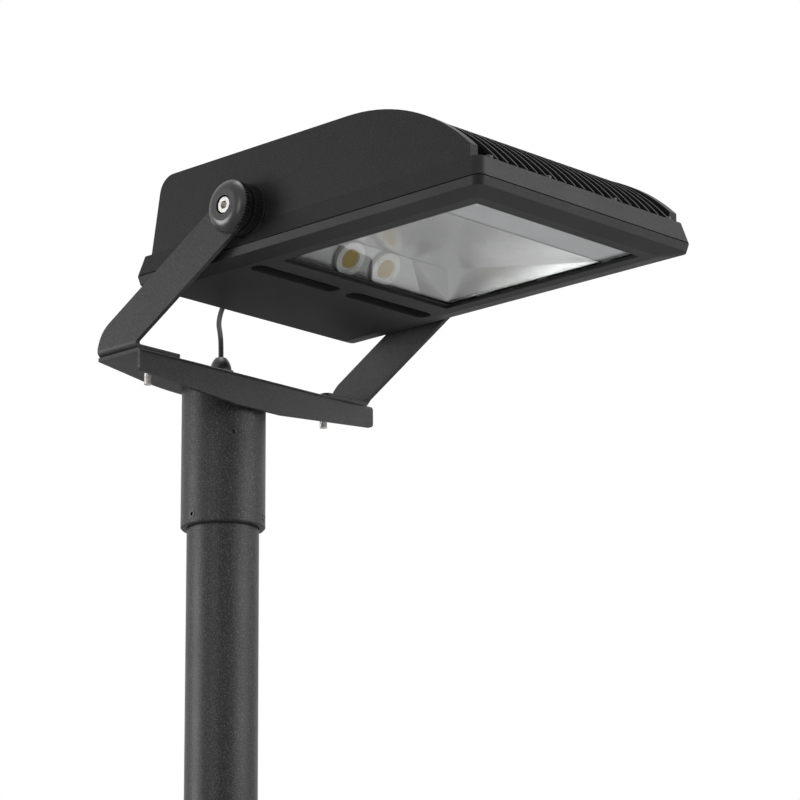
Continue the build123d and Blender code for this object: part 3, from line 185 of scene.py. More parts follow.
def sweep_tube(line, radius, sides):
    """A closed round tube that follows a line of points."""
    shape = bmesh.new()
    heading = (line[1] - line[0]).normalized()
    start = frame_along(line[0], heading, heading.orthogonal())
    bmesh.ops.create_circle(shape, cap_ends=True, segments=sides, radius=radius, matrix=start)
    edges = [edge for edge in shape.edges if len(edge.link_faces) == 1]
    for index in range(1, len(line)):
        before, here = line[index - 1], line[index]
        after = line[min(index + 1, len(line) - 1)]
        next_heading = (after - before).normalized()
        turn = heading.rotation_difference(next_heading).to_matrix().to_4x4()
        grown = bmesh.ops.extrude_edge_only(shape, edges=edges)["geom"]
        edges = [item for item in grown if isinstance(item, bmesh.types.BMEdge)]
        rim = [item for item in grown if isinstance(item, bmesh.types.BMVert)]
        move = Matrix.Translation(here) @ turn @ Matrix.Translation(-before)
        bmesh.ops.transform(shape, matrix=move, verts=rim)
        heading = next_heading
    bmesh.ops.contextual_create(shape, geom=edges)
    return shape


lead_tube = sweep_tube(lead_line, LEAD_DIAMETER / 2, LEAD_SIDES)
supply_cord = finish_piece(lead_tube, "supply_cord", None, "cable_sheath", ["supply_cable"])
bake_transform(supply_cord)

# %% [markdown]
# ## The weld bead
# The drawing shows the sleeve simply touching the saddle, but a real one is welded: a bead of
# small overlapping waves runs round the joint and is painted over with the rest. The same
# tube helper makes it, along an arc whose radius rises and falls once for each wave. At the
# rear the saddle's edge is flush with the sleeve, so the bead stops short of it.

# %% Run the weld bead
SLEEVE_RADIUS = 0.0445
SLEEVE_TOP = 0.4787
BEAD_RADIUS = 0.0021
BEAD_SIDES = 10
BEAD_START, BEAD_END = 172, 368
BEAD_STEPS = 260
WAVE_HEIGHT = 0.0003
WAVES = 58

bead_line = []
bead_height = SLEEVE_TOP - BEAD_RADIUS / 3
for step in range(BEAD_STEPS + 1):
    angle = math.radians(BEAD_START + (BEAD_END - BEAD_START) * step / BEAD_STEPS)
    reach = SLEEVE_RADIUS + WAVE_HEIGHT * abs(math.sin(math.pi * WAVES * step / BEAD_STEPS))
    bead_line.append(Vector((reach * math.cos(angle), reach * math.sin(angle), bead_height)))
finish_piece(sweep_tube(bead_line, BEAD_RADIUS, BEAD_SIDES), "weld_bead", "bracket", "steel_coat")

# %% [markdown]
# ## The LED dams
# Inside the lamp chamber each LED has a white ring of silicone, which dammed its phosphor when
# that was poured. A small circle spun about the disc's own axis makes one, and the last step
# of a full spin merges with the first. The discs' places are read from the CAD part, so the
# rings follow it.

# %% Cast the LED dams
DISC_RADIUS = 0.011
DAM_RADIUS = 0.0006
DAM_STEPS, DAM_SIDES = 48, 10
LED_NORMAL = Vector((0.0, -0.0285, -0.020)).normalized()


def add_ring(shape, centre, axis, radius, thickness):
    """A round ring spun about an axis."""
    place = frame_along(centre, axis)
    upright = Matrix.Translation((radius, 0, 0)) @ Matrix.Rotation(math.pi / 2, 4, "X")
    section = bmesh.ops.create_circle(shape, segments=DAM_SIDES, radius=thickness)["verts"]
    bmesh.ops.transform(shape, matrix=upright, verts=section)
    bmesh.ops.transform(shape, matrix=place, verts=section)
    edges = list({edge for vertex in section for edge in vertex.link_edges})
    spin_axis = place.to_3x3() @ Vector((0, 0, 1))
    bmesh.ops.spin(
        shape, geom=edges, cent=centre, axis=spin_axis, angle=2 * math.pi, steps=DAM_STEPS, use_merge=True
    )


disc_points = [vertex.co for vertex in nodes["led_discs"].data.vertices]
dams = bmesh.new()
for side in (-1, 1):
    own = [point for point in disc_points if point.x * side > 0]
    front = max(point.dot(LED_NORMAL) for point in own)
    centre = sum(own, Vector()) / len(own)
    centre += LED_NORMAL * (front - centre.dot(LED_NORMAL) - DAM_RADIUS / 2)
    add_ring(dams, centre, LED_NORMAL, DISC_RADIUS, DAM_RADIUS)
finish_piece(dams, "led_dams", "head", "holder_plastic")

# %% [markdown]
# ## The reflector's feet and the painted shade in the gap
# The side reflectors end in a narrow foot folded outward over the glass. Along the gap between
# the roof reflector and the printed strip lies a thin black strip, painted shade for the dark
# line that the gap shows. Both are flat blocks. A bevel of a tenth of a millimetre gives them
# an edge that catches light.

# %% Fold the feet and lay the painted shade strip
FOOT_X = (0.1182, 0.1236)
FOOT_Y = (-0.4235, -0.2165)
FOOT_Z = (0.5586, 0.5591)
FOOT_ROUNDING = 0.0001
GAP_SHADE_X = (-0.1195, 0.1195)
GAP_SHADE_Y = (-0.4250, -0.4228)
GAP_SHADE_Z = (0.55850, 0.55878)
GAP_SHADE_ROUNDING = 0.00005


def add_block(shape, ranges, rounding):
    """A block with rounded edges, between the low and high ends of three ranges."""
    size = [high - low for low, high in ranges]
    middle = [(low + high) / 2 for low, high in ranges]
    made = bmesh.ops.create_cube(shape, size=1, matrix=Matrix.LocRotScale(middle, None, size))
    edges = list({edge for vertex in made["verts"] for edge in vertex.link_edges})
    bmesh.ops.bevel(
        shape, geom=edges, offset=rounding, offset_type="OFFSET", affect="EDGES",
        segments=2, profile=0.5, material=-1,
    )


feet = bmesh.new()
for x_range in (FOOT_X, (-FOOT_X[1], -FOOT_X[0])):
    add_block(feet, (x_range, FOOT_Y, FOOT_Z), FOOT_ROUNDING)
finish_piece(feet, "reflector_feet", "head", "mirror_sheet")
# A thin black strip in the gap: painted shade, not a part of the lamp.
gap_shade = bmesh.new()
add_block(gap_shade, (GAP_SHADE_X, GAP_SHADE_Y, GAP_SHADE_Z), GAP_SHADE_ROUNDING)
finish_piece(gap_shade, "reflector_gap_shade", "head", "seal_rubber")

# %% [markdown]
# ## Shared effects
# Several finishes need the same effects: the fine grain of a baked powder coat, edges that
# have rubbed a little brighter, and a breath of dust on what faces up. Each effect is a node
# group, built once. A group puts out only values and normals, and the shader that uses them
# stays in each material, where a Blender exporter can still read it.

# %% Helpers for node trees
FLOAT, VECTOR = "NodeSocketFloat", "NodeSocketVector"


def fill_socket(tree, socket, value):
    """Link a socket to another one, or set its value."""
    if isinstance(value, bpy.types.NodeSocket):
        tree.links.new(value, socket)
    else:
        socket.default_value = value


def add_node(tree, kind, settings=None, **inputs):
    """A node with its settings made and its inputs set or linked."""
    node = tree.nodes.new(kind)
    for name, value in (settings or {}).items():
        setattr(node, name, value)
    for name, value in inputs.items():
        fill_socket(tree, node.inputs[name.replace("_", " ")], value)
    return node


def maths(tree, operation, *values, clamp=False):
    """One step of arithmetic, and its result."""
    node = add_node(tree, "ShaderNodeMath", {"operation": operation, "use_clamp": clamp})
    for socket, value in zip(node.inputs, values):
        fill_socket(tree, socket, value)
    return node.outputs[0]


def mixed_colour(tree, factor, first, second):
    """A colour between two, by a factor."""
    node = add_node(tree, "ShaderNodeMix", {"data_type": "RGBA"})
    sockets = (node.inputs[0], node.inputs[6], node.inputs[7])
    for socket, value in zip(sockets, (factor, first, second)):
        fill_socket(tree, socket, value)
    return node.outputs[2]


def spread(tree, value, low, high, new_low=0.0, new_high=1.0):
    """A value moved from one range to another, and held inside it."""
    node = add_node(
        tree, "ShaderNodeMapRange", {"clamp": True},
        Value=value, From_Min=low, From_Max=high, To_Min=new_low, To_Max=new_high,
    )
    return node.outputs[0]


def noise(tree, vector, size, detail=2.0, roughness=0.5):
    """Noise whose lumps are about this many metres across."""
    linked = isinstance(size, bpy.types.NodeSocket)
    scale = maths(tree, "DIVIDE", 1.0, size) if linked else 1.0 / size
    node = add_node(
        tree, "ShaderNodeTexNoise", Vector=vector, Scale=scale, Detail=detail, Roughness=roughness
    )
    return node.outputs[0]


def new_group(name, inputs, outputs):
    """An empty node group with named sockets, each given as (name, kind, value)."""
    group = bpy.data.node_groups.new(name, "ShaderNodeTree")
    for socket_name, kind, value in inputs:
        socket = group.interface.new_socket(socket_name, in_out="INPUT", socket_type=kind)
        if value is not None:
            socket.default_value = value
    for socket_name, kind in outputs:
        group.interface.new_socket(socket_name, in_out="OUTPUT", socket_type=kind)
    entry = group.nodes.new("NodeGroupInput")
    leave = group.nodes.new("NodeGroupOutput")
    return group, entry.outputs, leave.inputs


# %% [markdown]
# ### Powder grain
# Powder paint melts into a skin with a fine, tight texture: grains near half a millimetre,
# on a slow orange peel a few millimetres across. Single flakes catch the light, and that sparkle
# on the arms and on the pole is painted: the group marks the flecks that the coats paint
# brighter, a painted glint. Noise at three sizes makes it.

# %% Build the powder grain
GRAIN_SHARE, PEEL_SHARE = 0.7, 0.3
GLINT_FLECK_RANGE = (0.5, 0.78)
CLOUD_RANGE = (0.3, 0.7)

grain_group, entry, leave = new_group(
    "powder_grain",
    [
        ("Vector", VECTOR, None),
        ("Grain Size", FLOAT, 0.0006),
        ("Peel Size", FLOAT, 0.004),
        ("Cloud Size", FLOAT, 0.09),
    ],
    [("Height", FLOAT), ("Glint Fleck", FLOAT), ("Cloud", FLOAT)],
)
grain = noise(grain_group, entry["Vector"], entry["Grain Size"], detail=1.0)
peel = noise(grain_group, entry["Vector"], entry["Peel Size"], detail=2.0)
cloud = noise(grain_group, entry["Vector"], entry["Cloud Size"], detail=3.0)
grain_part = maths(grain_group, "MULTIPLY", grain, GRAIN_SHARE)
peel_part = maths(grain_group, "MULTIPLY", peel, PEEL_SHARE)
grain_group.links.new(maths(grain_group, "ADD", grain_part, peel_part), leave["Height"])
grain_group.links.new(spread(grain_group, grain, *GLINT_FLECK_RANGE), leave["Glint Fleck"])
grain_group.links.new(spread(grain_group, cloud, *CLOUD_RANGE), leave["Cloud"])
print("powder_grain nodes", len(grain_group.nodes))

# %% [markdown]
# ### Soft edges and rubbed edges
# No real edge is perfectly sharp: a casting has a small radius and paint rounds it further.
# The Bevel node bends the shading normal near an edge as such a radius would, without new
# faces. Where that normal leaves the true one there is an edge, which is also where hands
# and tools have rubbed the coat, so the same difference gives the wear mask.

# %% Build the edge group
FLAT_LIKENESS, EDGE_LIKENESS = 0.99, 0.8
PATCH_RANGE = (0.42, 0.62)

edge_group, entry, leave = new_group(
    "soft_edges",
    [("Vector", VECTOR, None), ("Radius", FLOAT, 0.0006), ("Patch Size", FLOAT, 0.006)],
    [("Normal", VECTOR), ("Wear", FLOAT)],
)
rounded = add_node(edge_group, "ShaderNodeBevel", {"samples": 4}, Radius=entry["Radius"]).outputs[0]
true_normal = add_node(edge_group, "ShaderNodeNewGeometry").outputs["Normal"]
likeness = add_node(edge_group, "ShaderNodeVectorMath", {"operation": "DOT_PRODUCT"})
edge_group.links.new(rounded, likeness.inputs[0])
edge_group.links.new(true_normal, likeness.inputs[1])
edge_mask = spread(edge_group, likeness.outputs["Value"], FLAT_LIKENESS, EDGE_LIKENESS)
patches = noise(edge_group, entry["Vector"], entry["Patch Size"], detail=3.0, roughness=0.6)
wear = maths(edge_group, "MULTIPLY", edge_mask, spread(edge_group, patches, *PATCH_RANGE))
edge_group.links.new(rounded, leave["Normal"])
edge_group.links.new(wear, leave["Wear"])
print("soft_edges nodes", len(edge_group.nodes))

# %% [markdown]
# ### Settled dust
# A lamp outdoors gathers a thin film on the faces that look up. The mask reads how far a
# surface faces up and breaks it with noise, and it stays faint, because this one is new.

# %% Build the dust group
UPWARD_RANGE = (0.35, 1.0)
SPECKLE_SIZE = 0.012
SPECKLE_RANGE = (0.35, 0.75)

dust_group, entry, leave = new_group(
    "settled_dust", [("Vector", VECTOR, None), ("Amount", FLOAT, 0.3)], [("Mask", FLOAT)]
)
facing = add_node(dust_group, "ShaderNodeSeparateXYZ")
true_normal = add_node(dust_group, "ShaderNodeNewGeometry").outputs["Normal"]
dust_group.links.new(true_normal, facing.inputs[0])
upward = spread(dust_group, facing.outputs["Z"], *UPWARD_RANGE)
speckles = noise(dust_group, entry["Vector"], SPECKLE_SIZE, detail=5.0, roughness=0.65)
speckled = maths(dust_group, "MULTIPLY", upward, spread(dust_group, speckles, *SPECKLE_RANGE))
dust_group.links.new(maths(dust_group, "MULTIPLY", speckled, entry["Amount"]), leave["Mask"])
print("settled_dust nodes", len(dust_group.nodes))

# %% [markdown]
# ## Finishes
# Each finish below is one material, and most are made for one slot of the model. All read
# Object coordinates, which are metres from the mast's foot, so a half millimetre grain is half
# a millimetre everywhere and the pattern stays on the surface when the head tilts.

# %% Helpers for finishes
finishes = {}


def opaque(colour, factor=1.0):
    """A colour made brighter or darker by a factor, with its alpha."""
    return (*(channel * factor for channel in colour), 1.0)


def new_finish(name, colour, roughness, metallic=0.0, specular=0.5):
    """A material with the shader's constant values set, and its object coordinates."""
    material = bpy.data.materials.new(name)
    material.use_nodes = True
    tree = material.node_tree
    shader = tree.nodes["Principled BSDF"]
    shader.inputs["Base Color"].default_value = opaque(colour)
    shader.inputs["Roughness"].default_value = roughness
    shader.inputs["Metallic"].default_value = metallic
    shader.inputs["Specular IOR Level"].default_value = specular
    material.diffuse_color = opaque(colour)
    finishes[name] = material
    return tree, shader, add_node(tree, "ShaderNodeTexCoord").outputs["Object"]


def add_group(tree, group, **inputs):
    """A shared effect's outputs, inside a material."""
    return add_node(tree, "ShaderNodeGroup", {"node_tree": group}, **inputs).outputs


def bump(tree, shader, height, distance, strength, normal=None):
    """Bump of a real height in metres on the shader's normal."""
    node = add_node(tree, "ShaderNodeBump", Height=height, Distance=distance, Strength=strength)
    if normal is not None:
        tree.links.new(normal, node.inputs["Normal"])
    tree.links.new(node.outputs[0], shader.inputs["Normal"])


def let_pass(tree, shader, factor, colour=(1.0, 1.0, 1.0)):
    """A clear shader that takes the finish's place by a factor."""
    clear = add_node(tree, "ShaderNodeBsdfTransparent", Color=opaque(colour))
    chosen = add_node(tree, "ShaderNodeMixShader", Fac=factor)
    tree.links.new(shader.outputs[0], chosen.inputs[1])
    tree.links.new(clear.outputs[0], chosen.inputs[2])
    tree.links.new(chosen.outputs[0], tree.nodes["Material Output"].inputs["Surface"])


# %% [markdown]
# ### Powder coated casting and powder coated steel
# The head is cast aluminium and the bracket and pole are steel, and both carry the same
# graphite powder coat. On the steel the skin is a little smoother and shines more, and its
# flecks are painted brighter as a painted glint, most of all on the pole and its sleeve, whose
# drawn tube is the smoothest surface. One recipe makes the three coats, each with its own
# grain, gloss and painted glint.

# %% Make the powder coats
CLOUD_TONES = (0.88, 1.12)
RUBBED_TONE = 2.6
RUBBED_SHARE = 0.5
COAT_GLOSS_SWING = 0.04
COAT_DEPTH, COAT_STRENGTH = 0.00012, 0.8
COAT_DUST = 0.12
DUST_COLOUR = (0.16, 0.15, 0.14)
DUST_ROUGHNESS = 0.5


def powder_coat(name, grey, roughness, specular, grain_size, edge_radius, fleck, painted_glint_tone):
    """Powder paint: clouded grey with flecks painted bright as a glint, rubbed edges and a film of dust."""
    colour = (grey, grey, grey)
    tree, shader, place = new_finish(name, colour, roughness, specular=specular)
    grain = add_group(tree, grain_group, Vector=place, Grain_Size=grain_size)
    edges = add_group(tree, edge_group, Vector=place, Radius=edge_radius)
    dust = add_group(tree, dust_group, Vector=place, Amount=COAT_DUST)
    tones = [opaque(colour, tone) for tone in CLOUD_TONES]
    base = mixed_colour(tree, grain["Cloud"], *tones)
    # Flecks are painted many times brighter than the grey in the base colour: a painted glint of flakes
    # catching the light.
    glint_flecks = maths(tree, "MULTIPLY", grain["Glint Fleck"], fleck)
    glinting_coat = mixed_colour(tree, glint_flecks, base, opaque(colour, painted_glint_tone))
    wear = maths(tree, "MULTIPLY", edges["Wear"], RUBBED_SHARE)
    rubbed = mixed_colour(tree, wear, glinting_coat, opaque(colour, RUBBED_TONE))
    dusty = mixed_colour(tree, dust["Mask"], rubbed, opaque(DUST_COLOUR))
    tree.links.new(dusty, shader.inputs["Base Color"])
    smoothest, roughest = roughness - COAT_GLOSS_SWING, roughness + COAT_GLOSS_SWING
    gloss = spread(tree, grain["Cloud"], 0.0, 1.0, smoothest, roughest)
    dulled = maths(tree, "ADD", gloss, maths(tree, "MULTIPLY", dust["Mask"], DUST_ROUGHNESS))
    tree.links.new(dulled, shader.inputs["Roughness"])
    bump(tree, shader, grain["Height"], COAT_DEPTH, COAT_STRENGTH, edges["Normal"])
    print(name, "nodes", len(tree.nodes))


# The greys differ too: the steel coat's is a little lighter and the pole's a little darker than the
# casting's.
# name, grey, roughness, specular, grain size, edge radius, share of flecks painted as glints, painted glint
# tone
POWDER_COATS = [
    ("cast_coat", 0.013, 0.48, 0.12, 0.0008, 0.0009, 0.5, 4.5),
    ("steel_coat", 0.016, 0.45, 0.20, 0.0009, 0.0006, 0.8, 5.0),
    ("pole_coat", 0.0105, 0.44, 0.26, 0.0010, 0.0006, 1.0, 10.0),
]
for row in POWDER_COATS:
    powder_coat(*row)

# %% [markdown]
# ### Bright screws
# The nuts, the washers, the clips and the two pivot screws are stainless steel, turned and
# slightly stained. Metal has no colour under its shine, so Metallic is one and the base colour
# is the shine's own. Stretched noise stands for the tool's fine lines.

# %% Make the bright steel
STEEL = (0.62, 0.61, 0.59)
STAINED_STEEL = (0.42, 0.40, 0.37)
STEEL_STAIN_RANGE = (0.4, 0.75)
NOISE_MIDDLE = (0.3, 0.7)
TOOL_STRETCH = (1.0, 1.0, 9.0)


def stained_steel(tree, stain):
    """Bright steel that browns where the stain is."""
    return mixed_colour(tree, spread(tree, stain, *STEEL_STAIN_RANGE), opaque(STEEL), opaque(STAINED_STEEL))


tree, shader, place = new_finish("bright_steel", STEEL, 0.28, metallic=1.0)
stretch = add_node(tree, "ShaderNodeMapping", Vector=place, Scale=TOOL_STRETCH)
lines = noise(tree, stretch.outputs[0], 0.0016, detail=3.0)
stain = noise(tree, place, 0.004, detail=4.0, roughness=0.6)
edges = add_group(tree, edge_group, Vector=place, Radius=0.0004)
tree.links.new(stained_steel(tree, stain), shader.inputs["Base Color"])
tree.links.new(spread(tree, lines, *NOISE_MIDDLE, 0.2, 0.4), shader.inputs["Roughness"])
bump(tree, shader, lines, 0.00004, 0.5, edges["Normal"])
print("bright_steel nodes", len(tree.nodes))

# %% [markdown]
# ### Black screws
# The frame's screws and the set screws are black oxide steel whose rims the key has rubbed
# bright. The shine itself is dark, so the black goes into the metal's base colour, and the
# wear mask brings the bare steel back.

# %% Make the oxide steel
OXIDE = (0.030, 0.030, 0.031)
KEY_PATCH = 0.002

tree, shader, place = new_finish("oxide_steel", OXIDE, 0.42, metallic=1.0)
edges = add_group(tree, edge_group, Vector=place, Radius=0.0007, Patch_Size=KEY_PATCH)
stain = noise(tree, place, 0.002, detail=4.0, roughness=0.6)
blackened = mixed_colour(tree, spread(tree, stain, 0.35, 0.7), opaque(OXIDE), opaque(OXIDE, 1.8))
rubbed = mixed_colour(tree, edges["Wear"], blackened, opaque(STEEL, 0.7))
tree.links.new(rubbed, shader.inputs["Base Color"])
tree.links.new(spread(tree, stain, *NOISE_MIDDLE, 0.34, 0.5), shader.inputs["Roughness"])
bump(tree, shader, stain, 0.00005, 0.4, edges["Normal"])
print("oxide_steel nodes", len(tree.nodes))

# %% [markdown]
# ### Bolts with painted shade on their heads
# The bracket's bolts are bright steel all through, but their heads above the plate are painted
# dark, a painted shade for how dark they look there, and below the plate their bright tails
# show the thread. Height tells the two apart, and a wave whose period is the thread's pitch
# gives the turns of the thread.

# %% Make the bolt steel
THREAD_PITCH = 0.00125
TAIL_TOP = 0.480

tree, shader, place = new_finish("bolt_steel", STEEL, 0.3, metallic=1.0)
edges = add_group(tree, edge_group, Vector=place, Radius=0.0006, Patch_Size=KEY_PATCH)
height = add_node(tree, "ShaderNodeSeparateXYZ", Vector=place).outputs["Z"]
tail = maths(tree, "LESS_THAN", height, TAIL_TOP)
turns = maths(tree, "MULTIPLY", height, 2 * math.pi / THREAD_PITCH)
thread = maths(tree, "MULTIPLY", maths(tree, "SINE", turns), tail)
stain = noise(tree, place, 0.003, detail=4.0, roughness=0.6)
# Above TAIL_TOP the head is painted near black: painted shade, as the bolt's own finish is the bright steel
# of its tail.
painted_shade_head = mixed_colour(tree, edges["Wear"], opaque(OXIDE, 1.3), opaque(STEEL, 0.6))
tree.links.new(mixed_colour(tree, tail, painted_shade_head, stained_steel(tree, stain)), shader.inputs["Base Color"])
tree.links.new(spread(tree, stain, *NOISE_MIDDLE, 0.26, 0.42), shader.inputs["Roughness"])
stained_thread = maths(tree, "ADD", thread, maths(tree, "MULTIPLY", stain, 0.1))
bump(tree, shader, stained_thread, 0.0002, 0.7, edges["Normal"])
print("bolt_steel nodes", len(tree.nodes))

# %% [markdown]
# ### Moulded plastics and rubber
# The knobs are a glossy black nylon, the glands a duller one, the washers and terminal block
# other grades, the seals a matt rubber and the lead's sheath a softer one. A moulding shows
# the spark-eroded grain of its tool, faint flow marks and small scuffs, and one recipe gives
# each grade its own colour, gloss and grain.

# %% Make the plastics and rubbers
FLOW_TONES = (0.9, 1.15)
FLOW_SIZE = 0.02
PEEL_TO_GRAIN = 8
SCUFF_TONE, SCUFF_LIFT = 1.8, 0.01
MOULD_DUST = 0.08


def moulded(name, colour, roughness, grain_size, depth, specular, scuff):
    """A moulding: fine tool grain, flow marks, scuffed edges and a little dust."""
    tree, shader, place = new_finish(name, colour, roughness, specular=specular)
    grain = add_group(
        tree, grain_group,
        Vector=place, Grain_Size=grain_size, Peel_Size=grain_size * PEEL_TO_GRAIN, Cloud_Size=FLOW_SIZE,
    )
    edges = add_group(tree, edge_group, Vector=place, Radius=0.0005, Patch_Size=0.003)
    dust = add_group(tree, dust_group, Vector=place, Amount=MOULD_DUST)
    tones = [opaque(colour, tone) for tone in FLOW_TONES]
    flow = mixed_colour(tree, grain["Cloud"], *tones)
    paler = [min(1.0, channel * SCUFF_TONE + SCUFF_LIFT) for channel in colour]
    wear = maths(tree, "MULTIPLY", edges["Wear"], scuff)
    scuffed = mixed_colour(tree, wear, flow, opaque(paler))
    dusty = mixed_colour(tree, dust["Mask"], scuffed, opaque(DUST_COLOUR))
    tree.links.new(dusty, shader.inputs["Base Color"])
    gloss = spread(tree, grain["Cloud"], 0.0, 1.0, roughness - 0.05, roughness + 0.06)
    tree.links.new(gloss, shader.inputs["Roughness"])
    bump(tree, shader, grain["Height"], depth, 0.6, edges["Normal"])
    print(name, "nodes", len(tree.nodes))


# name, colour, roughness, grain size, grain depth, specular, scuff
MOULDINGS = [
    ("knob_plastic", (0.010, 0.010, 0.011), 0.30, 0.0004, 0.00003, 0.5, 0.3),
    ("gland_plastic", (0.012, 0.012, 0.013), 0.36, 0.0005, 0.00004, 0.5, 0.3),
    ("washer_plastic", (0.014, 0.014, 0.015), 0.5, 0.0005, 0.00004, 0.4, 0.3),
    ("seal_rubber", (0.010, 0.010, 0.010), 0.72, 0.0006, 0.00006, 0.3, 0.1),
    ("cable_sheath", (0.011, 0.011, 0.012), 0.55, 0.0005, 0.00005, 0.35, 0.1),
    ("holder_plastic", (0.62, 0.62, 0.60), 0.42, 0.0004, 0.00003, 0.5, 0.2),
    ("driver_case", (0.36, 0.37, 0.38), 0.5, 0.0006, 0.00005, 0.5, 0.2),
    ("terminal_plastic", (0.30, 0.31, 0.29), 0.45, 0.0005, 0.00004, 0.5, 0.2),
]
for row in MOULDINGS:
    moulded(*row)

# %% [markdown]
# ### Window glass
# Clear toughened glass, four millimetres thick. Seen at a shallow angle it mirrors much of
# its surroundings, which is what veils the lamp chamber in the picture. A path tracer lets
# lamp light through solid glass only by chance, so light that falls through it, which the
# Light Path node calls shadow and diffuse rays, meets a clear shader in its place. The film
# of dust on it is a slight change of roughness.

# %% Make the window glass
GLASS = (0.955, 0.96, 0.96)
FILMED_GLASS = (0.92, 0.925, 0.925)
CLEAR_GLASS = (0.95, 0.955, 0.955)

tree, shader, place = new_finish("window_glass", GLASS, 0.02, specular=0.02)
shader.inputs["Transmission Weight"].default_value = 1.0
shader.inputs["IOR"].default_value = 1.5
film = noise(tree, place, 0.03, detail=5.0, roughness=0.6)
tree.links.new(spread(tree, film, 0.45, 0.8, 0.0, 0.05), shader.inputs["Roughness"])
tree.links.new(mixed_colour(tree, film, opaque(GLASS), opaque(FILMED_GLASS)), shader.inputs["Base Color"])
bump(tree, shader, noise(tree, place, 0.08, detail=1.0), 0.00008, 0.2)
rays = add_node(tree, "ShaderNodeLightPath").outputs
passing = maths(tree, "MAXIMUM", rays["Is Shadow Ray"], rays["Is Diffuse Ray"], clamp=True)
let_pass(tree, shader, passing, CLEAR_GLASS)
print("window_glass nodes", len(tree.nodes))

# %% [markdown]
# ### Reflector sheet, LED plate and the printed strip
# The reflector is folded from bright rolled aluminium: a mirror with a slight haze along the
# rolling direction and the long soft waves of thin sheet. The plate behind the LEDs and the
# corner pieces beside it are the same metal left satin. The strip along the front is coated a
# pale matt grey.

# %% Make the sheet metals
STREAK_SIZE, WAVE_SIZE = 0.0012, 0.05
STREAK_TONE = 0.93
STREAK_HEIGHT = 0.01


def rolled_sheet(name, colour, smoothest, roughest, wave, direction):
    """Rolled metal: streaks along one direction, on long shallow waves."""
    tree, shader, place = new_finish(name, colour, smoothest, metallic=1.0)
    stretch = add_node(tree, "ShaderNodeMapping", Vector=place, Scale=direction)
    streaks = noise(tree, stretch.outputs[0], STREAK_SIZE, detail=4.0, roughness=0.6)
    waves = noise(tree, place, WAVE_SIZE, detail=1.0)
    edges = add_group(tree, edge_group, Vector=place, Radius=0.0006)
    streaked = mixed_colour(tree, streaks, opaque(colour, STREAK_TONE), opaque(colour))
    tree.links.new(streaked, shader.inputs["Base Color"])
    tree.links.new(spread(tree, streaks, *NOISE_MIDDLE, smoothest, roughest), shader.inputs["Roughness"])
    height = maths(tree, "ADD", waves, maths(tree, "MULTIPLY", streaks, STREAK_HEIGHT))
    bump(tree, shader, height, wave, 0.6, edges["Normal"])
    print(name, "nodes", len(tree.nodes))


rolled_sheet("mirror_sheet", (0.92, 0.92, 0.92), 0.16, 0.30, 0.00015, (8.0, 1.0, 1.0))
rolled_sheet("satin_sheet", (0.45, 0.45, 0.455), 0.32, 0.45, 0.0002, (1.0, 8.0, 1.0))
moulded("shade_coat", (0.31, 0.315, 0.325), 0.55, 0.0006, 0.00003, 0.4, 0.1)

# %% [markdown]
# ### LED board and phosphor
# Each LED is many small chips under one disc of silicone filled with yellow phosphor. The
# chips' grid shows through as a faint regular pattern, and the silicone skin shines a little,
# so the disc has a clear coat over a mottled yellow. The board around it is white ceramic.

# %% Make the LED finishes
PHOSPHOR = (0.36, 0.25, 0.012)
CHIP_PHOSPHOR = (0.30, 0.19, 0.008)
THIN_PHOSPHOR = (0.42, 0.31, 0.03)
CHIPS_PER_METRE = 600.0

tree, shader, place = new_finish("phosphor", PHOSPHOR, 0.5)
shader.inputs["Coat Weight"].default_value = 0.15
shader.inputs["Coat Roughness"].default_value = 0.15
chips = add_node(
    tree, "ShaderNodeTexVoronoi", {"distance": "CHEBYCHEV"}, Vector=place, Scale=CHIPS_PER_METRE
).outputs["Distance"]
chip_mask = maths(tree, "MULTIPLY", spread(tree, chips, 0.2, 0.6), 0.35)
mottled = noise(tree, place, 0.004, detail=3.0)
yellow = mixed_colour(tree, chip_mask, opaque(PHOSPHOR), opaque(CHIP_PHOSPHOR))
uneven = mixed_colour(tree, maths(tree, "MULTIPLY", mottled, 0.3), yellow, opaque(THIN_PHOSPHOR))
tree.links.new(uneven, shader.inputs["Base Color"])
tree.links.new(spread(tree, mottled, *NOISE_MIDDLE, 0.42, 0.58), shader.inputs["Roughness"])
bump(tree, shader, chips, 0.00005, 0.3)
print("phosphor nodes", len(tree.nodes))
moulded("led_board", (0.66, 0.66, 0.63), 0.38, 0.0004, 0.00002, 0.5, 0.1)

# %% [markdown]
# ## Dressing the parts
# Each CAD part comes with a plain material named after its slot, and the finish of the same
# name takes its place. A few parts look different from the rest of their slot, such as the
# pole among the steel and the black screws among the bright ones, so they get their own.

# %% Give each part its finish
OWN_FINISH = {
    "mast_tube": "pole_coat",
    "pole_sleeve": "pole_coat",
    "frame_screws": "oxide_steel",
    "lower_set_screws": "oxide_steel",
    "upper_set_screws": "oxide_steel",
    "bracket_bolts": "bolt_steel",
    "corner_reflectors": "satin_sheet",
}
for node_name, node in nodes.items():
    for slot in node.material_slots:
        own_slot = slot.material.name.split(".")[0]
        slot.material = finishes[OWN_FINISH.get(node_name, own_slot)]
for piece, slot in made_pieces:
    piece.data.materials.append(finishes[slot])
print("dressed", len(nodes), "nodes and", len(made_pieces), "pieces in", len(finishes), "finishes")

# %% [markdown]
# ## Studio
# Soft boxes light the lamp, as they light a catalogue picture. One low and behind to the left
# draws the bright line down the pole and is mirrored in the reflector, a tall strip at the left
# draws a second line, two boxes in front light the underside and the knobs, a faint one fills
# from the rear right, and a broad one hangs above. The sky itself stays faint. The background is
# white because the sky's strength is one for the rays that only look at it: the camera's, the
# mirror's and the glass's. That way it puts no more light on the object.

# %% Light the studio
SKY_LIGHT = 0.06
LAMP_TARGET = Vector((0.0, -0.15, 0.45))
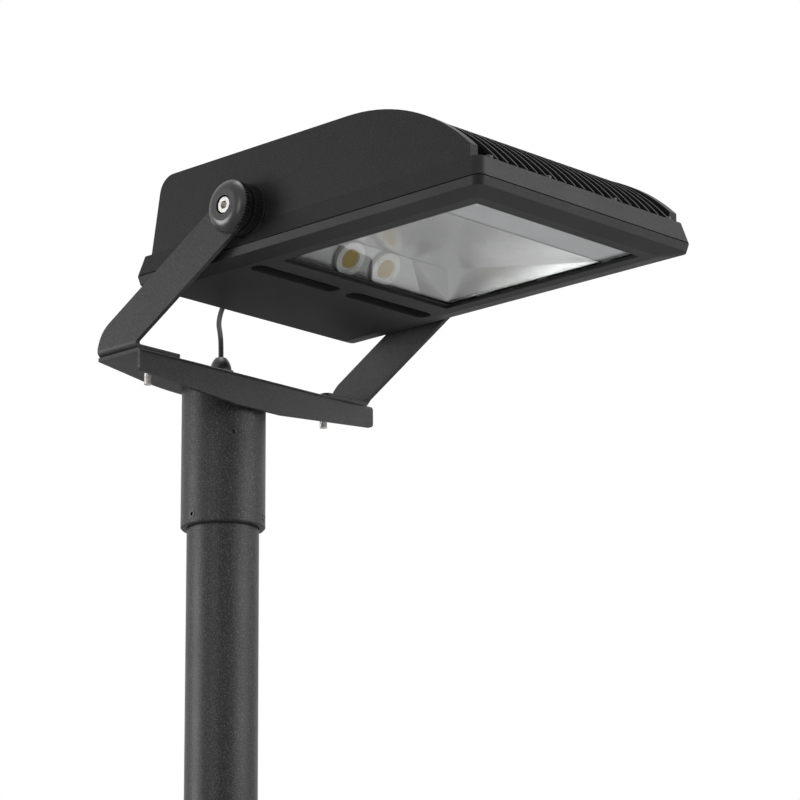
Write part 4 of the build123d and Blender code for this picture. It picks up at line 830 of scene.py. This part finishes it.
# name, bearing in degrees, distance, height, size, power
LAMPS = [
    ("left_rear_box", 141, 2.4, 0.3, (1.2, 1.2), 46.0),
    ("left_strip", -160, 2.4, 0.6, (0.5, 1.4), 10.0),
    ("front_box", -68, 2.4, 0.75, (2.0, 1.2), 34.0),
    ("high_front_box", -40, 2.0, 2.2, (1.2, 1.0), 16.0),
    ("right_rear_fill", 45, 2.2, 1.9, (1.2, 1.2), 9.0),
    ("top_box", -90, 0.3, 4.0, (2.2, 2.2), 60.0),
]

world = bpy.data.worlds.new("studio_sky")
scene.world = world
world.use_nodes = True
sky = world.node_tree
background = sky.nodes["Background"]
background.inputs["Color"].default_value = (1, 1, 1, 1)
rays = add_node(sky, "ShaderNodeLightPath").outputs
looking = maths(sky, "MAXIMUM", rays["Is Camera Ray"], rays["Is Transmission Ray"], clamp=True)
looking = maths(sky, "MAXIMUM", looking, rays["Is Glossy Ray"], clamp=True)
sky.links.new(spread(sky, looking, 0.0, 1.0, SKY_LIGHT, 1.0), background.inputs["Strength"])

for name, bearing, distance, height, size, power in LAMPS:
    turn = math.radians(bearing)
    place = Vector((distance * math.cos(turn), distance * math.sin(turn), height))
    lamp = bpy.data.lights.new(name, "AREA")
    lamp.shape = "RECTANGLE"
    lamp.size, lamp.size_y = size
    lamp.energy = power
    stand = bpy.data.objects.new(name, lamp)
    stand.location = place
    stand.rotation_euler = (LAMP_TARGET - place).to_track_quat("-Z", "Y").to_euler()
    scene.collection.objects.link(stand)
scene.view_settings.view_transform = "Standard"
print("lamps", len(LAMPS))

# %% [markdown]
# ## The floor
# A plain pale floor carries the pole and takes its shadow. The catalogue camera stands lower
# than the pole's cut end, so it would see this floor from beneath: the Backfacing output makes
# the floor's underside clear, and its upper side stays a plain floor for every other view. Away
# from the pole it fades into the white background, where only the camera sees the difference.

# %% Lay the floor
FLOOR_HALF = 6.0
FADE = (0.6, 1.7)
PAPER = (0.80, 0.80, 0.80)
PAPER_TONES = ((0.79, 0.79, 0.79), (0.82, 0.82, 0.82))
TONE_SIZE = 0.6

floor_shape = bmesh.new()
bmesh.ops.create_grid(floor_shape, x_segments=1, y_segments=1, size=FLOOR_HALF)
floor_mesh = bpy.data.meshes.new("studio_floor")
floor_shape.to_mesh(floor_mesh)
floor_shape.free()
floor = bpy.data.objects.new("studio_floor", floor_mesh)
scene.collection.objects.link(floor)

tree, shader, place = new_finish("floor_paper", PAPER, 0.9, specular=0.1)
tones = [opaque(tone) for tone in PAPER_TONES]
tree.links.new(mixed_colour(tree, noise(tree, place, TONE_SIZE), *tones), shader.inputs["Base Color"])
from_axis = add_node(tree, "ShaderNodeVectorMath", {"operation": "LENGTH"}, Vector=place).outputs["Value"]
seen = add_node(tree, "ShaderNodeLightPath").outputs["Is Camera Ray"]
faded = maths(tree, "MULTIPLY", seen, spread(tree, from_axis, *FADE))
backside = add_node(tree, "ShaderNodeNewGeometry").outputs["Backfacing"]
let_pass(tree, shader, maths(tree, "MAXIMUM", backside, faded))
floor_mesh.materials.append(finishes["floor_paper"])
print("floor", 2 * FLOOR_HALF, "m square")
